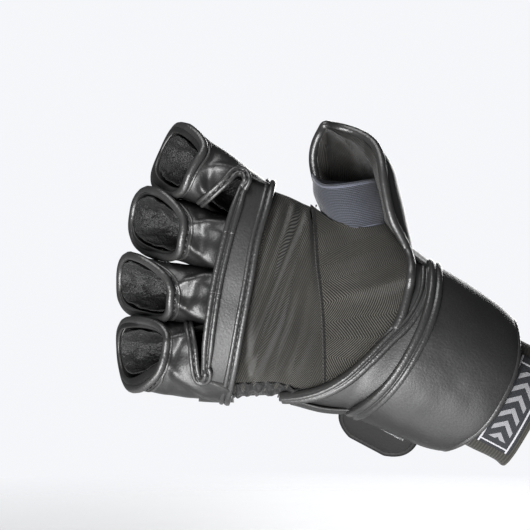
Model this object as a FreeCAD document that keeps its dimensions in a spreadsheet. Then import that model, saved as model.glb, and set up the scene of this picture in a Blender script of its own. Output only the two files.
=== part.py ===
"""Hybrid MMA glove for a right hand: an open palm, padded finger sleeves, a thumb shield and a wrist strap.

Frame, in millimetres: the origin is the centre of the wrist opening, +X points from the fingers
towards the wrist, +Y points out of the back of the hand and +Z points to the thumb side.

Every tube of the glove is drawn in a frame of its own and then placed: local x runs along the tube
towards the fingertips, local y is the glove's +Y and local z points to the little finger's side.
"""
import FreeCAD, Part
import Sketcher
import math
import os
import re
from FreeCAD import Placement, Rotation, Vector

doc = FreeCAD.newDocument("mma_glove")

# ---------------------------------------------------------------- driving dimensions

SIZES = {
    # where the frames stand, and how far each turns up from -X
    "wrist_angle": 28.0,
    "hand_angle": 11.3,
    "knuckle_x": -150.0,
    "knuckle_z": 68.5,
    "thumb_x": -84.5,
    "thumb_z": 84.0,
    "thumb_angle": 76.0,
    # hand tube: stations along the hand, the middle of each, half widths and depths
    "cuff_at": -106.0,
    "heel_at": -84.0,
    "palm_at": -40.0,
    "band_at": 3.5,
    "cuff_middle": 17.0,
    "heel_middle": 12.5,
    "palm_middle": 7.8,
    "band_middle": 5.6,
    "cuff_half": 36.0,
    "heel_half": 41.5,
    "palm_half_width": 52.3,
    "band_half": 59.0,
    "cuff_back_depth": 29.0,
    "heel_back_depth": 31.0,
    "palm_back_depth": 34.0,
    "band_back_depth": 35.5,
    "leather_palm_depth": 25.5,
    "bed_depth": 19.0,
    "bed_inset": 4.5,
    # materials
    "leather": 1.4,
    "cloth": 1.6,
    "lining": 1.0,
    "heel_leather": 2.0,
    "raised_edge": 0.8,
    # knuckles and palm band
    "back_end": 1.0,
    "knuckle_foam_from": -45.0,
    "foam_joint": 0.6,
    "band_leather": 2.6,
    "band_from": -15.0,
    "binding_width": 2.8,
    "slit_from": -7.0,
    "slit_across": 38.0,
    # palm
    "seam_x": -104.5,
    "seam_half": 1.4,
    "heel_arc_x": -146.3,
    "heel_arc_z": 104.9,
    "heel_arc_radius": 103.8,
    "heel_binding_half": 1.6,
    "gusset_from_x": -151.0,
    "gusset_to_x": -124.0,
    "gusset_top": 18.0,
    # wrist: stations along the forearm, half widths and depths
    "strap_from": 22.8,
    "strap_to": 80.3,
    "strap_rear_half": 33.5,
    "strap_rear_depth": 27.0,
    "strap_front_half": 43.0,
    "strap_front_depth": 34.0,
    "under_rear_half": 30.6,
    "under_rear_depth": 24.1,
    "under_front_half": 36.5,
    "under_front_depth": 27.5,
    "band_rear_half": 29.5,
    "band_rear_depth": 23.0,
    "band_front_half": 30.5,
    "band_front_depth": 22.5,
    "elastic": 2.2,
    "label_from": 2.0,
    "label_to": 20.0,
    "label_near": 5.0,
    "label_far": 24.0,
    "label_thick": 0.8,
    "cuff_back_from": 50.0,
    "tape": 1.2,
    "body_gap": 0.5,
    "edge_width": 2.4,
    "tail_end": 33.0,
    "tape_reach": 24.0,
    "tape_rear": 50.0,
    "tape_front": 74.0,
    "tab_from": 45.0,
    "tab_to": 77.0,
    "tab_across": 34.5,
    "tab_height": 9.5,
    "tab_thick": 3.2,
    "tab_length": 18.0,
    "tab_slope": 20.0,
    # finger sleeves
    "sleeve_from": 10.0,
    "sleeve_ring": 30.0,
    "sleeve_tip": 54.0,
    "sleeve_from_half": 12.2,
    "sleeve_ring_half": 13.9,
    "sleeve_tip_half": 15.0,
    "sleeve_from_back": 26.0,
    "sleeve_ring_back": 26.5,
    "sleeve_tip_back": 24.0,
    "bore_from_half": 9.2,
    "bore_ring_half": 10.8,
    "bore_tip_half": 11.5,
    "bore_rise": 0.8,
    "mouth_slope": 30.0,
    "mouth_at": 36.0,
    "piping": 2.6,
    "piping_proud": 0.6,
    "index_across": -38.5,
    "middle_across": -14.5,
    "ring_across": 12.5,
    "pinky_across": 38.5,
    "index_angle": 29.2,
    "middle_angle": 16.3,
    "ring_angle": 8.5,
    "pinky_angle": -1.3,
    "index_scale": 0.97,
    "middle_scale": 0.98,
    "ring_scale": 1.0,
    "pinky_scale": 1.02,
    # thumb
    "thumb_from": 8.0,
    "thumb_knuckle": 32.0,
    "thumb_nail": 47.0,
    "thumb_tip": 61.0,
    "thumb_from_fill": 1.0,
    "thumb_knuckle_fill": 0.95,
    "thumb_nail_fill": 0.78,
    "thumb_tip_fill": 0.38,
    "thumb_bore": 16.0,
    "shield_right": 25.5,
    "shield_left": 20.0,
    "shield_palm": 20.0,
    "shield_back": 25.0,
    "shield_turn": -15.0,
    "shield_edge": -3.0,
    "shield_binding": 2.6,
    "loop_bore": 13.2,
    "loop_thick": 1.6,
    "loop_to": 32.0,
    "notch_side": 21.5,
    "thumb_notch_from": -1.0,
    # big enough to reach past the whole glove
    "reach": 300.0,
}

sheet = doc.addObject("Spreadsheet::Sheet", "Sizes")
for row, (alias, value) in enumerate(SIZES.items(), start=1):
    sheet.set(f"A{row}", alias)
    sheet.set(f"B{row}", str(value))
    sheet.setAlias(f"B{row}", alias)
doc.recompute()

ALONG, ACROSS, UP = Vector(1, 0, 0), Vector(0, 1, 0), Vector(0, 0, 1)
ALL_LOW, ALL_HIGH = "-reach", "reach"
FINGERS = ("index", "middle", "ring", "pinky")
NODES = []


def sized(expression):
    """Point every name of the sheet in an expression at its cell."""
    return re.sub(r"[a-z_]+", lambda word: f"Sizes.{word[0]}" if word[0] in SIZES else word[0], expression)


def bind(item, **values):
    """Bind properties to expressions; Base_x stands for Placement.Base.x, and so on."""
    paths = {"Base_x": "Placement.Base.x", "Base_y": "Placement.Base.y", "Base_z": "Placement.Base.z",
             "Angle": "Placement.Rotation.Angle"}
    for name, expression in values.items():
        item.setExpression(paths.get(name, name), sized(expression))
    return item


# ---------------------------------------------------------------- drawing helpers

def ellipse(name, at, half, palm, back, middle="0"):
    """Ellipse across a tube: its half width, and its reach to the palm and to the back."""
    item = doc.addObject("Part::Ellipse", name)
    item.Placement = Placement(Vector(), Rotation(ACROSS, -90))
    return bind(item, MajorRadius=half, MinorRadius=f"(({palm}) + ({back})) / 2", Base_x=at,
                Base_y=f"(({back}) - ({palm})) / 2", Base_z=middle)


def slot(name, half, radius, turn, **base):
    """Slot-shaped section: two half circles joined by straight runs, half is its longer half width."""
    sketch = doc.addObject("Sketcher::SketchObject", name)
    sketch.Placement = Placement(Vector(), turn)
    round_end, run = 20.0, 25.0
    left, right, rise = Vector(-run, 0, 0), Vector(run, 0, 0), Vector(0, round_end, 0)
    quarter = math.pi / 2
    left_round, right_round = (Part.Circle(centre, UP, round_end) for centre in (left, right))
    top = sketch.addGeometry(Part.LineSegment(left + rise, right + rise))
    end = sketch.addGeometry(Part.ArcOfCircle(right_round, -quarter, quarter))
    low = sketch.addGeometry(Part.LineSegment(right - rise, left - rise))
    start = sketch.addGeometry(Part.ArcOfCircle(left_round, quarter, 3 * quarter))
    for corner in ((top, 2, end, 2), (end, 1, low, 1), (low, 2, start, 2), (start, 1, top, 1)):
        sketch.addConstraint(Sketcher.Constraint("Tangent", *corner))
    for line in (top, low):
        sketch.addConstraint(Sketcher.Constraint("Horizontal", line))
    sketch.addConstraint(Sketcher.Constraint("Symmetric", start, 3, end, 3, -1, 1))
    round_size = sketch.addConstraint(Sketcher.Constraint("Radius", end, round_end))
    run_size = sketch.addConstraint(Sketcher.Constraint("DistanceX", start, 3, end, 3, 2 * run))
    sketch.setExpression(f"Constraints[{round_size}]", sized(radius))
    sketch.setExpression(f"Constraints[{run_size}]", sized(f"2 * (({half}) - ({radius}))"))
    return bind(sketch, **base)


def loft(name, sections):
    """Solid with straight rulings through sections."""
    item = doc.addObject("Part::Loft", name)
    item.Sections = sections
    item.Solid = True
    item.Ruled = True
    return item


def block(name, low, high):
    """Box between two corners, each three expressions."""
    item = doc.addObject("Part::Box", name)
    sides = {"Length": 0, "Width": 1, "Height": 2}
    spans = {side: f"({high[k]}) - ({low[k]})" for side, k in sides.items()}
    return bind(item, Base_x=low[0], Base_y=low[1], Base_z=low[2], **spans)


def cut(name, base, tool):
    item = doc.addObject("Part::Cut", name)
    item.Base, item.Tool = base, tool
    return item


def common(name, base, tool):
    item = doc.addObject("Part::Common", name)
    item.Base, item.Tool = base, tool
    return item


def placed(item, origin_x, origin_z, angle):
    """Stand a finished local shape in the glove: its +x turned up from -X by the angle."""
    item.Placement = Placement(Vector(), Rotation(ACROSS, 180))
    return bind(item, Base_x=origin_x, Base_z=origin_z, Angle=f"180 + ({angle})")


def turned(name, item, axis, angle, **base):
    """A shape moved and turned as a whole, about one of its frame's axes."""
    group = doc.addObject("Part::Compound", name)
    group.Links = [item]
    group.Placement = Placement(Vector(), Rotation(axis, 180))
    return bind(group, Angle=angle, **base)


def node(item, label):
    """Keep a shape as one named piece of the glove."""
    item.Label = label
    NODES.append(item)
    return item


# ---------------------------------------------------------------- hand tube

HAND_STATIONS = ("cuff", "heel", "palm", "band")
HALF = {"cuff": "cuff_half", "heel": "heel_half", "palm": "palm_half_width", "band": "band_half"}


def hand_loft(name, depth, inset):
    """Tube along the hand; depth is one expression, or one for each station."""
    depths = depth if isinstance(depth, dict) else dict.fromkeys(HAND_STATIONS, depth)
    flat = Rotation(ACROSS, -90)
    sections = [slot(f"{name}_{station}", f"{HALF[station]} - ({inset})", depths[station], flat,
                     Base_x=f"{station}_at", Base_z=f"{station}_middle") for station in HAND_STATIONS]
    return loft(name, sections)


def back_depths(inset):
    return {station: f"{station}_back_depth - ({inset})" for station in HAND_STATIONS}


def in_hand(item):
    return placed(item, "knuckle_x", "knuckle_z", "hand_angle")


back_side = block("back_side", (ALL_LOW, "0", ALL_LOW), ("back_end", ALL_HIGH, ALL_HIGH))
palm_side = block("palm_side", (ALL_LOW, ALL_LOW, ALL_LOW), ("band_from", "0", ALL_HIGH))

bed = hand_loft("bed", "bed_depth", "bed_inset")
bed_inside = hand_loft("bed_inside", "bed_depth - cloth", "bed_inset + cloth")
skin = hand_loft("skin", back_depths("0"), "0")
skin_inside = hand_loft("skin_inside", back_depths("leather"), "leather")

# what every piece of the hand is trimmed by: the strap's front face, and the notch the thumb comes out of
strap_block = block("strap_block", (ALL_LOW, ALL_LOW, ALL_LOW), ("strap_to", ALL_HIGH, ALL_HIGH))
strap_side = turned("strap_side", strap_block, ACROSS, "180 + wrist_angle")
notch_block = block("notch_block", ("thumb_notch_from", ALL_LOW, ALL_LOW), ("reach", ALL_HIGH, "notch_side"))
thumb_notch = turned("thumb_notch", notch_block, ACROSS, "180 + thumb_angle", Base_x="thumb_x",
                     Base_z="thumb_z")
trim = doc.addObject("Part::Fuse", "trim")
trim.Base, trim.Tool = strap_side, thumb_notch


def hand_piece(label, shape):
    """Place a piece of the hand tube and trim it at the strap and at the thumb."""
    return node(cut(label, in_hand(shape), trim), label)


def back_layer(name, outside, inside):
    return common(name, cut(f"{name}_ring", outside, inside), back_side)


hand_piece("back_shell", back_layer("back_shell_shape", skin, skin_inside))
hand_piece("back_lining", back_layer("back_lining_shape", bed, bed_inside))

padding = back_layer("padding", skin_inside, bed)
knuckle_half = block("knuckle_half", ("knuckle_foam_from", ALL_LOW, ALL_LOW), ("reach", ALL_HIGH, ALL_HIGH))
wrist_half = block("wrist_half", (ALL_LOW, ALL_LOW, ALL_LOW),
                   ("knuckle_foam_from - foam_joint", ALL_HIGH, ALL_HIGH))
hand_piece("knuckle_foam", common("knuckle_foam_shape", padding, knuckle_half))
hand_piece("hand_foam", common("hand_foam_shape", padding, wrist_half))

# ---------------------------------------------------------------- leather band across the palm

band_skin = hand_loft("band_skin", "leather_palm_depth", "0")
band_inside = hand_loft("band_inside", "leather_palm_depth - band_leather", "band_leather")
band_raised = hand_loft("band_raised", "leather_palm_depth + raised_edge", "-raised_edge")


# the band's end is let out in front of the index knuckle, so that the sleeve can pass it
index_slit = block("index_slit", ("slit_from", ALL_LOW, ALL_LOW), (ALL_HIGH, ALL_HIGH, "-slit_across"))


def band_strip(label, outside, start, end):
    strip = block(f"{label}_span", (start, ALL_LOW, ALL_LOW), (end, "0", ALL_HIGH))
    ring = cut(f"{label}_ring", outside, band_inside)
    whole = common(f"{label}_whole", ring, strip)
    return node(in_hand(cut(label, whole, index_slit)), label)


band_strip("palm_band", band_skin, "band_from + binding_width", "band_at - binding_width")
band_strip("palm_band_front_binding", band_raised, "band_at - binding_width", "band_at")
band_strip("palm_band_rear_binding", band_raised, "band_from", "band_from + binding_width")

# ---------------------------------------------------------------- palm cloth and the heel of the hand

palm_cloth = common("palm_cloth", cut("palm_cloth_ring", bed, bed_inside), palm_side)
palm_cloth = cut("palm_cloth_trimmed", in_hand(palm_cloth), trim)

heel_disc = doc.addObject("Part::Cylinder", "heel_disc")
heel_disc.Placement = Placement(Vector(), Rotation(Vector(1, 0, 0), 90))
bind(heel_disc, Radius="heel_arc_radius", Height="2 * reach", Base_x="heel_arc_x", Base_y="reach",
     Base_z="heel_arc_z")
inner_disc = doc.addObject("Part::Cylinder", "inner_disc")
inner_disc.Placement = Placement(Vector(), Rotation(Vector(1, 0, 0), 90))
bind(inner_disc, Radius="heel_arc_radius - heel_binding_half * 2", Height="2 * reach", Base_x="heel_arc_x",
     Base_y="reach", Base_z="heel_arc_z")

gusset_block = block("gusset_block", ("gusset_from_x", ALL_LOW, ALL_LOW),
                     ("gusset_to_x", ALL_HIGH, "gusset_top"))
front_block = block("front_block", (ALL_LOW, ALL_LOW, ALL_LOW),
                    ("seam_x - seam_half", ALL_HIGH, ALL_HIGH))
thumb_block = block("thumb_block", ("seam_x + seam_half", ALL_LOW, ALL_LOW), (ALL_HIGH, ALL_HIGH, ALL_HIGH))
seam_block = block("seam_block", ("seam_x - seam_half", ALL_LOW, ALL_LOW),
                   ("seam_x + seam_half", ALL_HIGH, ALL_HIGH))

node(common("side_gusset", palm_cloth, gusset_block), "side_gusset")
open_palm = cut("open_palm", palm_cloth, gusset_block)
node(common("palm_wrap_front", open_palm, front_block), "palm_wrap_front")
node(common("palm_wrap_thumb", open_palm, thumb_block), "palm_wrap_thumb")

seam_skin = hand_loft("seam_skin", "bed_depth + raised_edge", "bed_inset - raised_edge")
seam_ring = common("seam_ring", cut("seam_ring_all", seam_skin, bed_inside), palm_side)
seam_ring = cut("seam_ring_trimmed", in_hand(seam_ring), trim)
node(common("palm_seam", common("seam_in_disc", seam_ring, inner_disc), seam_block), "palm_seam")

heel_depth = "bed_depth + raised_edge + body_gap"
heel_inside = hand_loft("heel_inside", heel_depth, "bed_inset - raised_edge - body_gap")
heel_skin = hand_loft("heel_skin", f"{heel_depth} + heel_leather",
                      "bed_inset - raised_edge - body_gap - heel_leather")
heel_raised = hand_loft("heel_raised", f"{heel_depth} + heel_leather + raised_edge",
                        "bed_inset - raised_edge - body_gap - heel_leather - raised_edge")
heel_shape = common("heel_shape", cut("heel_ring", heel_skin, heel_inside), palm_side)
heel_rim = common("heel_rim", cut("heel_rim_ring", heel_raised, heel_inside), palm_side)
node(cut("heel_panel", cut("heel_trimmed", in_hand(heel_shape), trim), heel_disc), "heel_panel")
heel_edge = common("heel_edge", cut("heel_rim_trimmed", in_hand(heel_rim), trim), heel_disc)
node(cut("heel_binding", heel_edge, inner_disc), "heel_binding")

# ---------------------------------------------------------------- wrist


def wrist_loft(name, rear, front, inset, start="strap_from", end="strap_to"):
    """Cone along the forearm between two ellipses, each a half width and a depth."""
    sections = []
    for at, (half, depth) in ((start, rear), (end, front)):
        rise = f"{depth} - ({inset})"
        sections.append(ellipse(f"{name}_section", at, f"{half} - ({inset})", rise, rise))
    return loft(name, sections)


def in_wrist(item):
    return placed(item, "0", "0", "wrist_angle")


OUTER = ("strap_rear_half", "strap_rear_depth"), ("strap_front_half", "strap_front_depth")
UNDER = ("under_rear_half", "under_rear_depth"), ("under_front_half", "under_front_depth")
ELASTIC = ("band_rear_half", "band_rear_depth"), ("band_front_half", "band_front_depth")

elastic_out = wrist_loft("elastic_out", *ELASTIC, "0", start="0")
elastic_in = wrist_loft("elastic_in", *ELASTIC, "elastic", start="0")
node(in_wrist(cut("wrist_band", elastic_out, elastic_in)), "wrist_band")

label_out = wrist_loft("label_out", *ELASTIC, "-label_thick", start="0")
label_block = block("label_block", ("label_from", ALL_LOW, "label_near"), ("label_to", "0", "label_far"))
node(in_wrist(common("wrist_label", cut("label_ring", label_out, elastic_out), label_block)), "wrist_label")

under_out = wrist_loft("under_out", *UNDER, "0")
under_tape = wrist_loft("under_tape", *UNDER, "body_gap")
under_leather = wrist_loft("under_leather", *UNDER, "body_gap + tape")
cuff_block = block("cuff_block", ("cuff_back_from", "0", ALL_LOW), ("strap_to", ALL_HIGH, ALL_HIGH))
node(in_wrist(common("cuff_back", cut("cuff_ring", under_leather, elastic_out), cuff_block)), "cuff_back")
tape_block = block("tape_block", ("tape_rear", "0", "-tape_reach"), ("tape_front", ALL_HIGH, "tape_reach"))
node(in_wrist(common("loop_tape", cut("tape_ring", under_tape, under_leather), tape_block)), "loop_tape")

strap_out = wrist_loft("strap_out", *OUTER, "0")
strap_in = wrist_loft("strap_in", *OUTER, "leather")
tape_out = wrist_loft("tape_out", *UNDER, "-tape")

EDGES = {"rear_binding": ("strap_from", "strap_from + edge_width"),
         "front_binding": ("strap_to - edge_width", "strap_to")}
INSIDE_EDGES = ("strap_from + edge_width", "strap_to - edge_width")


def strap_span(name, span, low_y, high_y, low_z, high_z):
    return block(name, (span[0], low_y, low_z), (span[1], high_y, high_z))


def strap_run(prefix, inner, low_y, high_y, low_z, high_z):
    """One run of the strap: cover, foam and the two bound edges, between y and z limits."""
    sides = (low_y, high_y, low_z, high_z)
    whole = cut(f"{prefix}_whole", strap_out, inner)
    for edge, span in EDGES.items():
        part = common(f"{prefix}_{edge}", whole, strap_span(f"{prefix}_{edge}_span", span, *sides))
        node(in_wrist(part), f"{prefix}_{edge}")
    middle = strap_span(f"{prefix}_middle", INSIDE_EDGES, *sides)
    cover = common(f"{prefix}_cover", cut(f"{prefix}_skin", strap_out, strap_in), middle)
    node(in_wrist(cover), f"{prefix}_cover")
    foam = common(f"{prefix}_foam", cut(f"{prefix}_fill", strap_in, inner), middle)
    node(in_wrist(foam), f"{prefix}_foam")


strap_run("strap", under_out, ALL_LOW, "0", ALL_LOW, ALL_HIGH)
strap_run("tail", tape_out, "body_gap", ALL_HIGH, ALL_LOW, "tail_end")
hook_block = block("hook_block", ("tape_rear", "body_gap", "-tape_reach"),
                   ("tape_front", ALL_HIGH, "tape_reach"))
node(in_wrist(common("tail_hook_tape", cut("hook_ring", tape_out, under_out), hook_block)), "tail_hook_tape")

# the free end of the strap stands off the wrist on the little finger's side
tab = block("tab", ("0", "0", "0"), ("tab_to - tab_from", "tab_thick", "tab_length"))
tab_inner = block("tab_inner", ("0", "0", "0"), ("tab_to - tab_from", "tape", "tab_length"))
TAB_PLACE = {"Base_x": "tab_from", "Base_y": "tab_height", "Base_z": "tab_across"}
tab_plate = cut("tab_leather_plate", tab, tab_inner)
tab_leather = turned("tab_leather_turned", tab_plate, ALONG, "tab_slope", **TAB_PLACE)
tab_tape = turned("tab_tape_turned", tab_inner, ALONG, "tab_slope", **TAB_PLACE)
node(in_wrist(cut("tab_leather", tab_leather, tape_out)), "tab_leather")
node(in_wrist(cut("tab_hook_tape", tab_tape, tape_out)), "tab_hook_tape")

# ---------------------------------------------------------------- finger sleeves

SLEEVE = ("from", "ring", "tip")


def finger_loft(name, half, back):
    """Tapered tube over a finger, round to the palm; {} in a size stands for the station's name."""
    upright = Rotation(Vector(1, 1, 1), 120)
    sections = []
    for place in SLEEVE:
        reach, rise = half.format(place), back.format(place)
        sections.append(slot(f"{name}_{place}", f"(({reach}) + ({rise})) / 2", reach, upright,
                             Base_x=f"sleeve_{place}", Base_y=f"(({rise}) - ({reach})) / 2"))
    return loft(name, sections)


def finger(name):
    """A sleeve open at both ends: leather, foam, lining and the piped edge of its slanted mouth."""
    half = f"sleeve_{{}}_half * {name}_scale"
    proud = finger_loft(f"{name}_proud", f"{half} + piping_proud", "sleeve_{}_back + piping_proud")
    outside = finger_loft(f"{name}_outside", half, "sleeve_{}_back")
    leather_in = finger_loft(f"{name}_leather_in", f"{half} - leather", "sleeve_{}_back - leather")
    around = "bore_{}_half + lining"
    lining_out = finger_loft(f"{name}_lining_out", around, f"{around} + bore_rise")
    bore = finger_loft(f"{name}_bore", "bore_{}_half", "bore_{}_half + bore_rise")
    past_edge = turned(f"{name}_past_edge", block(f"{name}_past", ("-piping", ALL_LOW, ALL_LOW),
                       (ALL_HIGH, ALL_HIGH, ALL_HIGH)), UP, "-mouth_slope", Base_x="mouth_at")
    edge = turned(f"{name}_edge", block(f"{name}_edge_slab", ("-piping", ALL_LOW, ALL_LOW),
                  ("0", ALL_HIGH, ALL_HIGH)), UP, "-mouth_slope", Base_x="mouth_at")
    layers = {"sleeve": (outside, leather_in), "foam": (leather_in, lining_out), "lining": (lining_out, bore)}
    shapes = {layer: cut(f"{name}_{layer}_shape", cut(f"{name}_{layer}_tube", *pair), past_edge)
              for layer, pair in layers.items()}
    shapes["piping"] = common(f"{name}_piping_shape", cut(f"{name}_piping_tube", proud, bore), edge)
    for layer, shape in shapes.items():
        placed(shape, f"knuckle_x - {name}_across * sin(hand_angle)",
               f"knuckle_z - {name}_across * cos(hand_angle)", f"{name}_angle")
        node(shape, f"{name}_{layer}")


for finger_name in FINGERS:
    finger(finger_name)

# ---------------------------------------------------------------- thumb shield and elastic thumb loop

THUMB_STATIONS = ("from", "knuckle", "nail", "tip")


def thumb_loft(name, right, left, palm, back):
    """Tube over the thumb that narrows to its tip; each reach is taken from the thumb's axis."""
    sections = []
    for place in THUMB_STATIONS:
        fill = f"thumb_{place}_fill"
        sections.append(ellipse(f"{name}_{place}", f"thumb_{place}", f"(({left}) + ({right})) / 2 * {fill}",
                                f"({palm}) * {fill}", f"({back}) * {fill}",
                                middle=f"(({left}) - ({right})) / 2 * {fill}"))
    return loft(name, sections)


def shield_loft(name, inset):
    return thumb_loft(name, f"shield_right - ({inset})", f"shield_left - ({inset})",
                      f"shield_palm - ({inset})", f"shield_back - ({inset})")


def in_thumb(item):
    return placed(item, "thumb_x", "thumb_z", "thumb_angle")


shield_proud = shield_loft("shield_proud", "-raised_edge")
shield_out = shield_loft("shield_out", "0")
shield_in = shield_loft("shield_in", "leather")
thumb_lining_out = thumb_loft("thumb_lining_out", *["thumb_bore + lining"] * 4)
thumb_lining_in = thumb_loft("thumb_lining_in", *["thumb_bore"] * 4)

open_block = block("open_block", (ALL_LOW, "shield_edge + shield_binding", ALL_LOW), (ALL_HIGH,) * 3)
rim_block = block("rim_block", (ALL_LOW, "shield_edge", ALL_LOW),
                  (ALL_HIGH, "shield_edge + shield_binding", ALL_HIGH))
shield_side = turned("shield_side", open_block, ALONG, "shield_turn")
shield_rim = turned("shield_rim", rim_block, ALONG, "shield_turn")

for layer, pair in {"shield": (shield_out, shield_in), "foam": (shield_in, thumb_lining_out),
                    "lining": (thumb_lining_out, thumb_lining_in)}.items():
    shape = common(f"thumb_{layer}_shape", cut(f"thumb_{layer}_tube", *pair), shield_side)
    node(in_thumb(shape), f"thumb_{layer}")
rim = common("thumb_binding_shape", cut("thumb_binding_tube", shield_proud, thumb_lining_in), shield_rim)
node(in_thumb(rim), "thumb_binding")

loop_out = doc.addObject("Part::Cylinder", "loop_out")
loop_in = doc.addObject("Part::Cylinder", "loop_in")
for ring, radius in ((loop_out, "loop_bore + loop_thick"), (loop_in, "loop_bore")):
    ring.Placement = Placement(Vector(), Rotation(ACROSS, 90))
    bind(ring, Radius=radius, Height="loop_to - thumb_from", Base_x="thumb_from")
node(in_thumb(cut("thumb_loop", loop_out, loop_in)), "thumb_loop")

# ---------------------------------------------------------------- checks and files

doc.recompute()
for item in doc.Objects:
    wrong = {"Invalid", "Error"} & set(item.State)
    if wrong:
        raise RuntimeError(f"{item.Label} is {wrong}")
for item in NODES:
    if item.Shape.isNull() or not item.Shape.isValid() or not item.Shape.Solids:
        raise RuntimeError(f"{item.Label} has no valid solid")

os.makedirs("parts", exist_ok=True)
for item in NODES:
    item.Shape.exportStep(f"parts/{item.Label}.step")
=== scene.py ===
"""Open-palm MMA glove: leather, herringbone cotton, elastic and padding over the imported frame.

Sizes below are in millimetres and become metres where a mesh is made. Each part of the glove
has its own frame: s runs towards the finger tips, y to the back of the hand, z to the little finger.
"""
import math

import bmesh
import bpy
import numpy as np
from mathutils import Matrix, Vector


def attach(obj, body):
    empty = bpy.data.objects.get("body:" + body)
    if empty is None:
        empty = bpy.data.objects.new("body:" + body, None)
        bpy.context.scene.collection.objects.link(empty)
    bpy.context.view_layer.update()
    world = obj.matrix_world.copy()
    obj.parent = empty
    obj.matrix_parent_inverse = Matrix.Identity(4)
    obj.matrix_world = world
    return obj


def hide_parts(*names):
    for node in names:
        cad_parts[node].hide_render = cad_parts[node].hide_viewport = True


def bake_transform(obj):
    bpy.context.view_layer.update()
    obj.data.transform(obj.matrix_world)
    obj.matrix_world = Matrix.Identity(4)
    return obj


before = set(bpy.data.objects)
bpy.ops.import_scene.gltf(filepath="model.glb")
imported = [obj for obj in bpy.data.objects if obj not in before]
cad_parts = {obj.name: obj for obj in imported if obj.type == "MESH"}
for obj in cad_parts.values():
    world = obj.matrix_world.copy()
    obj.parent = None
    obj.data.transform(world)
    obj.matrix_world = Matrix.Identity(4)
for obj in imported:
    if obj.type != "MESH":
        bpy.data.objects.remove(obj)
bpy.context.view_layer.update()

MM = 0.001
DEG = math.pi / 180
TAU = 2 * math.pi
BACKWARD = np.array([0, 1.0, 0])
SAME_POINT = 0.05


# ---------------------------------------------------------------- numbers

def through(t, points, x):
    """Smooth curve through points given at t, read at x."""
    t, points, x = np.asarray(t, float), np.asarray(points, float), np.asarray(x, float)
    table = points.reshape(len(t), -1)
    slope = np.gradient(table, t, axis=0)
    flat = np.clip(x.ravel(), t[0], t[-1])
    i = np.clip(np.searchsorted(t, flat) - 1, 0, len(t) - 2)
    h = (t[i + 1] - t[i])[:, None]
    f = ((flat - t[i]) / h[:, 0])[:, None]
    a, b = 2 * f**3 - 3 * f**2 + 1, f**3 - 2 * f**2 + f
    out = a * table[i] + b * h * slope[i] + (1 - a) * table[i + 1] + (f**3 - f**2) * h * slope[i + 1]
    return out.reshape(x.shape + points.shape[1:])


def smooth_step(x, low, high):
    """0 below low, 1 above high, and a soft slope between."""
    f = np.clip((np.asarray(x, float) - low) / (high - low), 0, 1)
    return f * f * (3 - 2 * f)


def hill(x, width):
    """1 at zero, falling away on both sides."""
    return np.exp(-(np.asarray(x) / width) ** 2)


def noise(points, size, seed):
    """Smooth value noise from -1 to 1, with cells of one size."""
    p = np.asarray(points, float) / size + 31.7 * seed
    cell = np.floor(p).astype(np.int64)
    f = p - cell
    f = f * f * (3 - 2 * f)
    total = 0
    for corner in np.ndindex(2, 2, 2):
        c = cell + np.array(corner)
        key = (c[..., 0] * 73856093) ^ (c[..., 1] * 19349663) ^ (c[..., 2] * 83492791) ^ (seed * 7919)
        key = (key * 1103515245 + 12345) & 0x7FFFFFFF
        key = ((key >> 7) ^ key) % 10007
        weight = np.prod(np.where(np.array(corner), f, 1 - f), axis=-1)
        total = total + weight * (key / 5003.0 - 1)
    return total


def unit(v):
    return v / np.maximum(np.linalg.norm(v, axis=-1, keepdims=True), 1e-9)


def run_of(path):
    """Distance along a path at each of its points."""
    return np.concatenate([[0], np.cumsum(np.linalg.norm(np.diff(path, axis=0), axis=1))])


def grid(down, across):
    """Two arrays of one shape: each row's value and each column's value."""
    return np.meshgrid(down, across, indexing="ij")


def closed(p):
    """A grid with its first column once more at its end."""
    return np.concatenate([p, p[:, :1]], 1)


def apart(path):
    """Marks the points of a path that don't repeat the one before."""
    return np.concatenate([[True], np.linalg.norm(np.diff(path, axis=0), axis=1) > SAME_POINT])


def rounded(a, power):
    """Sine and cosine of a rounded square: power 2 is a circle, more is squarer."""
    lean = 2 / power
    sine, cosine = np.sin(a), np.cos(a)
    return np.sign(sine) * np.abs(sine) ** lean, np.sign(cosine) * np.abs(cosine) ** lean


def panel(x, middle, half):
    """Plump profile, 1 in the middle and 0 at the edges, for a stuffed panel."""
    return np.clip(1 - ((x - middle) / half) ** 4, 0, None) ** 0.5


def grid_normals(p, wrap):
    down = np.gradient(p, axis=0)
    side = (np.roll(p, -1, 1) - np.roll(p, 1, 1)) if wrap else np.gradient(p, axis=1)
    return unit(np.cross(down, side))


def outward(p, wrap, inside):
    """Normals of a grid, turned away from a point or points inside."""
    n = grid_normals(p, wrap)
    return n if np.mean(np.sum(n * (p - inside), -1)) > 0 else -n


def grid_uv(p, wrap):
    """Distances in millimetres along a grid's rows and columns, from its middle row and column."""
    p = closed(p) if wrap else p
    side = np.linalg.norm(np.diff(p, axis=1), axis=-1)
    side = np.concatenate([np.zeros((len(p), 1)), np.cumsum(side, 1)], 1)
    down = np.linalg.norm(np.diff(p, axis=0), axis=-1)
    down = np.concatenate([np.zeros((1, p.shape[1])), np.cumsum(down, 0)], 0)
    side = side - side[:, [side.shape[1] // 2]]
    down = down - down[[len(down) // 2]]
    return np.stack([side, down], -1)


class Frame:
    """s along a finger or arm, y to the back, z to the little finger."""

    def __init__(self, x, z, angle):
        a = math.radians(angle)
        self.origin = np.array([x, 0.0, z])
        self.along = np.array([-math.cos(a), 0, math.sin(a)])
        self.across = np.array([-math.sin(a), 0, -math.cos(a)])

    def at(self, s, y, z):
        s, y, z = (np.asarray(v, float)[..., None] for v in np.broadcast_arrays(s, y, z))
        return self.origin + s * self.along + y * BACKWARD + z * self.across

    def metres(self, s, y=0.0, z=0.0):
        return tuple(float(c) * MM for c in self.at(s, y, z))


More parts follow.
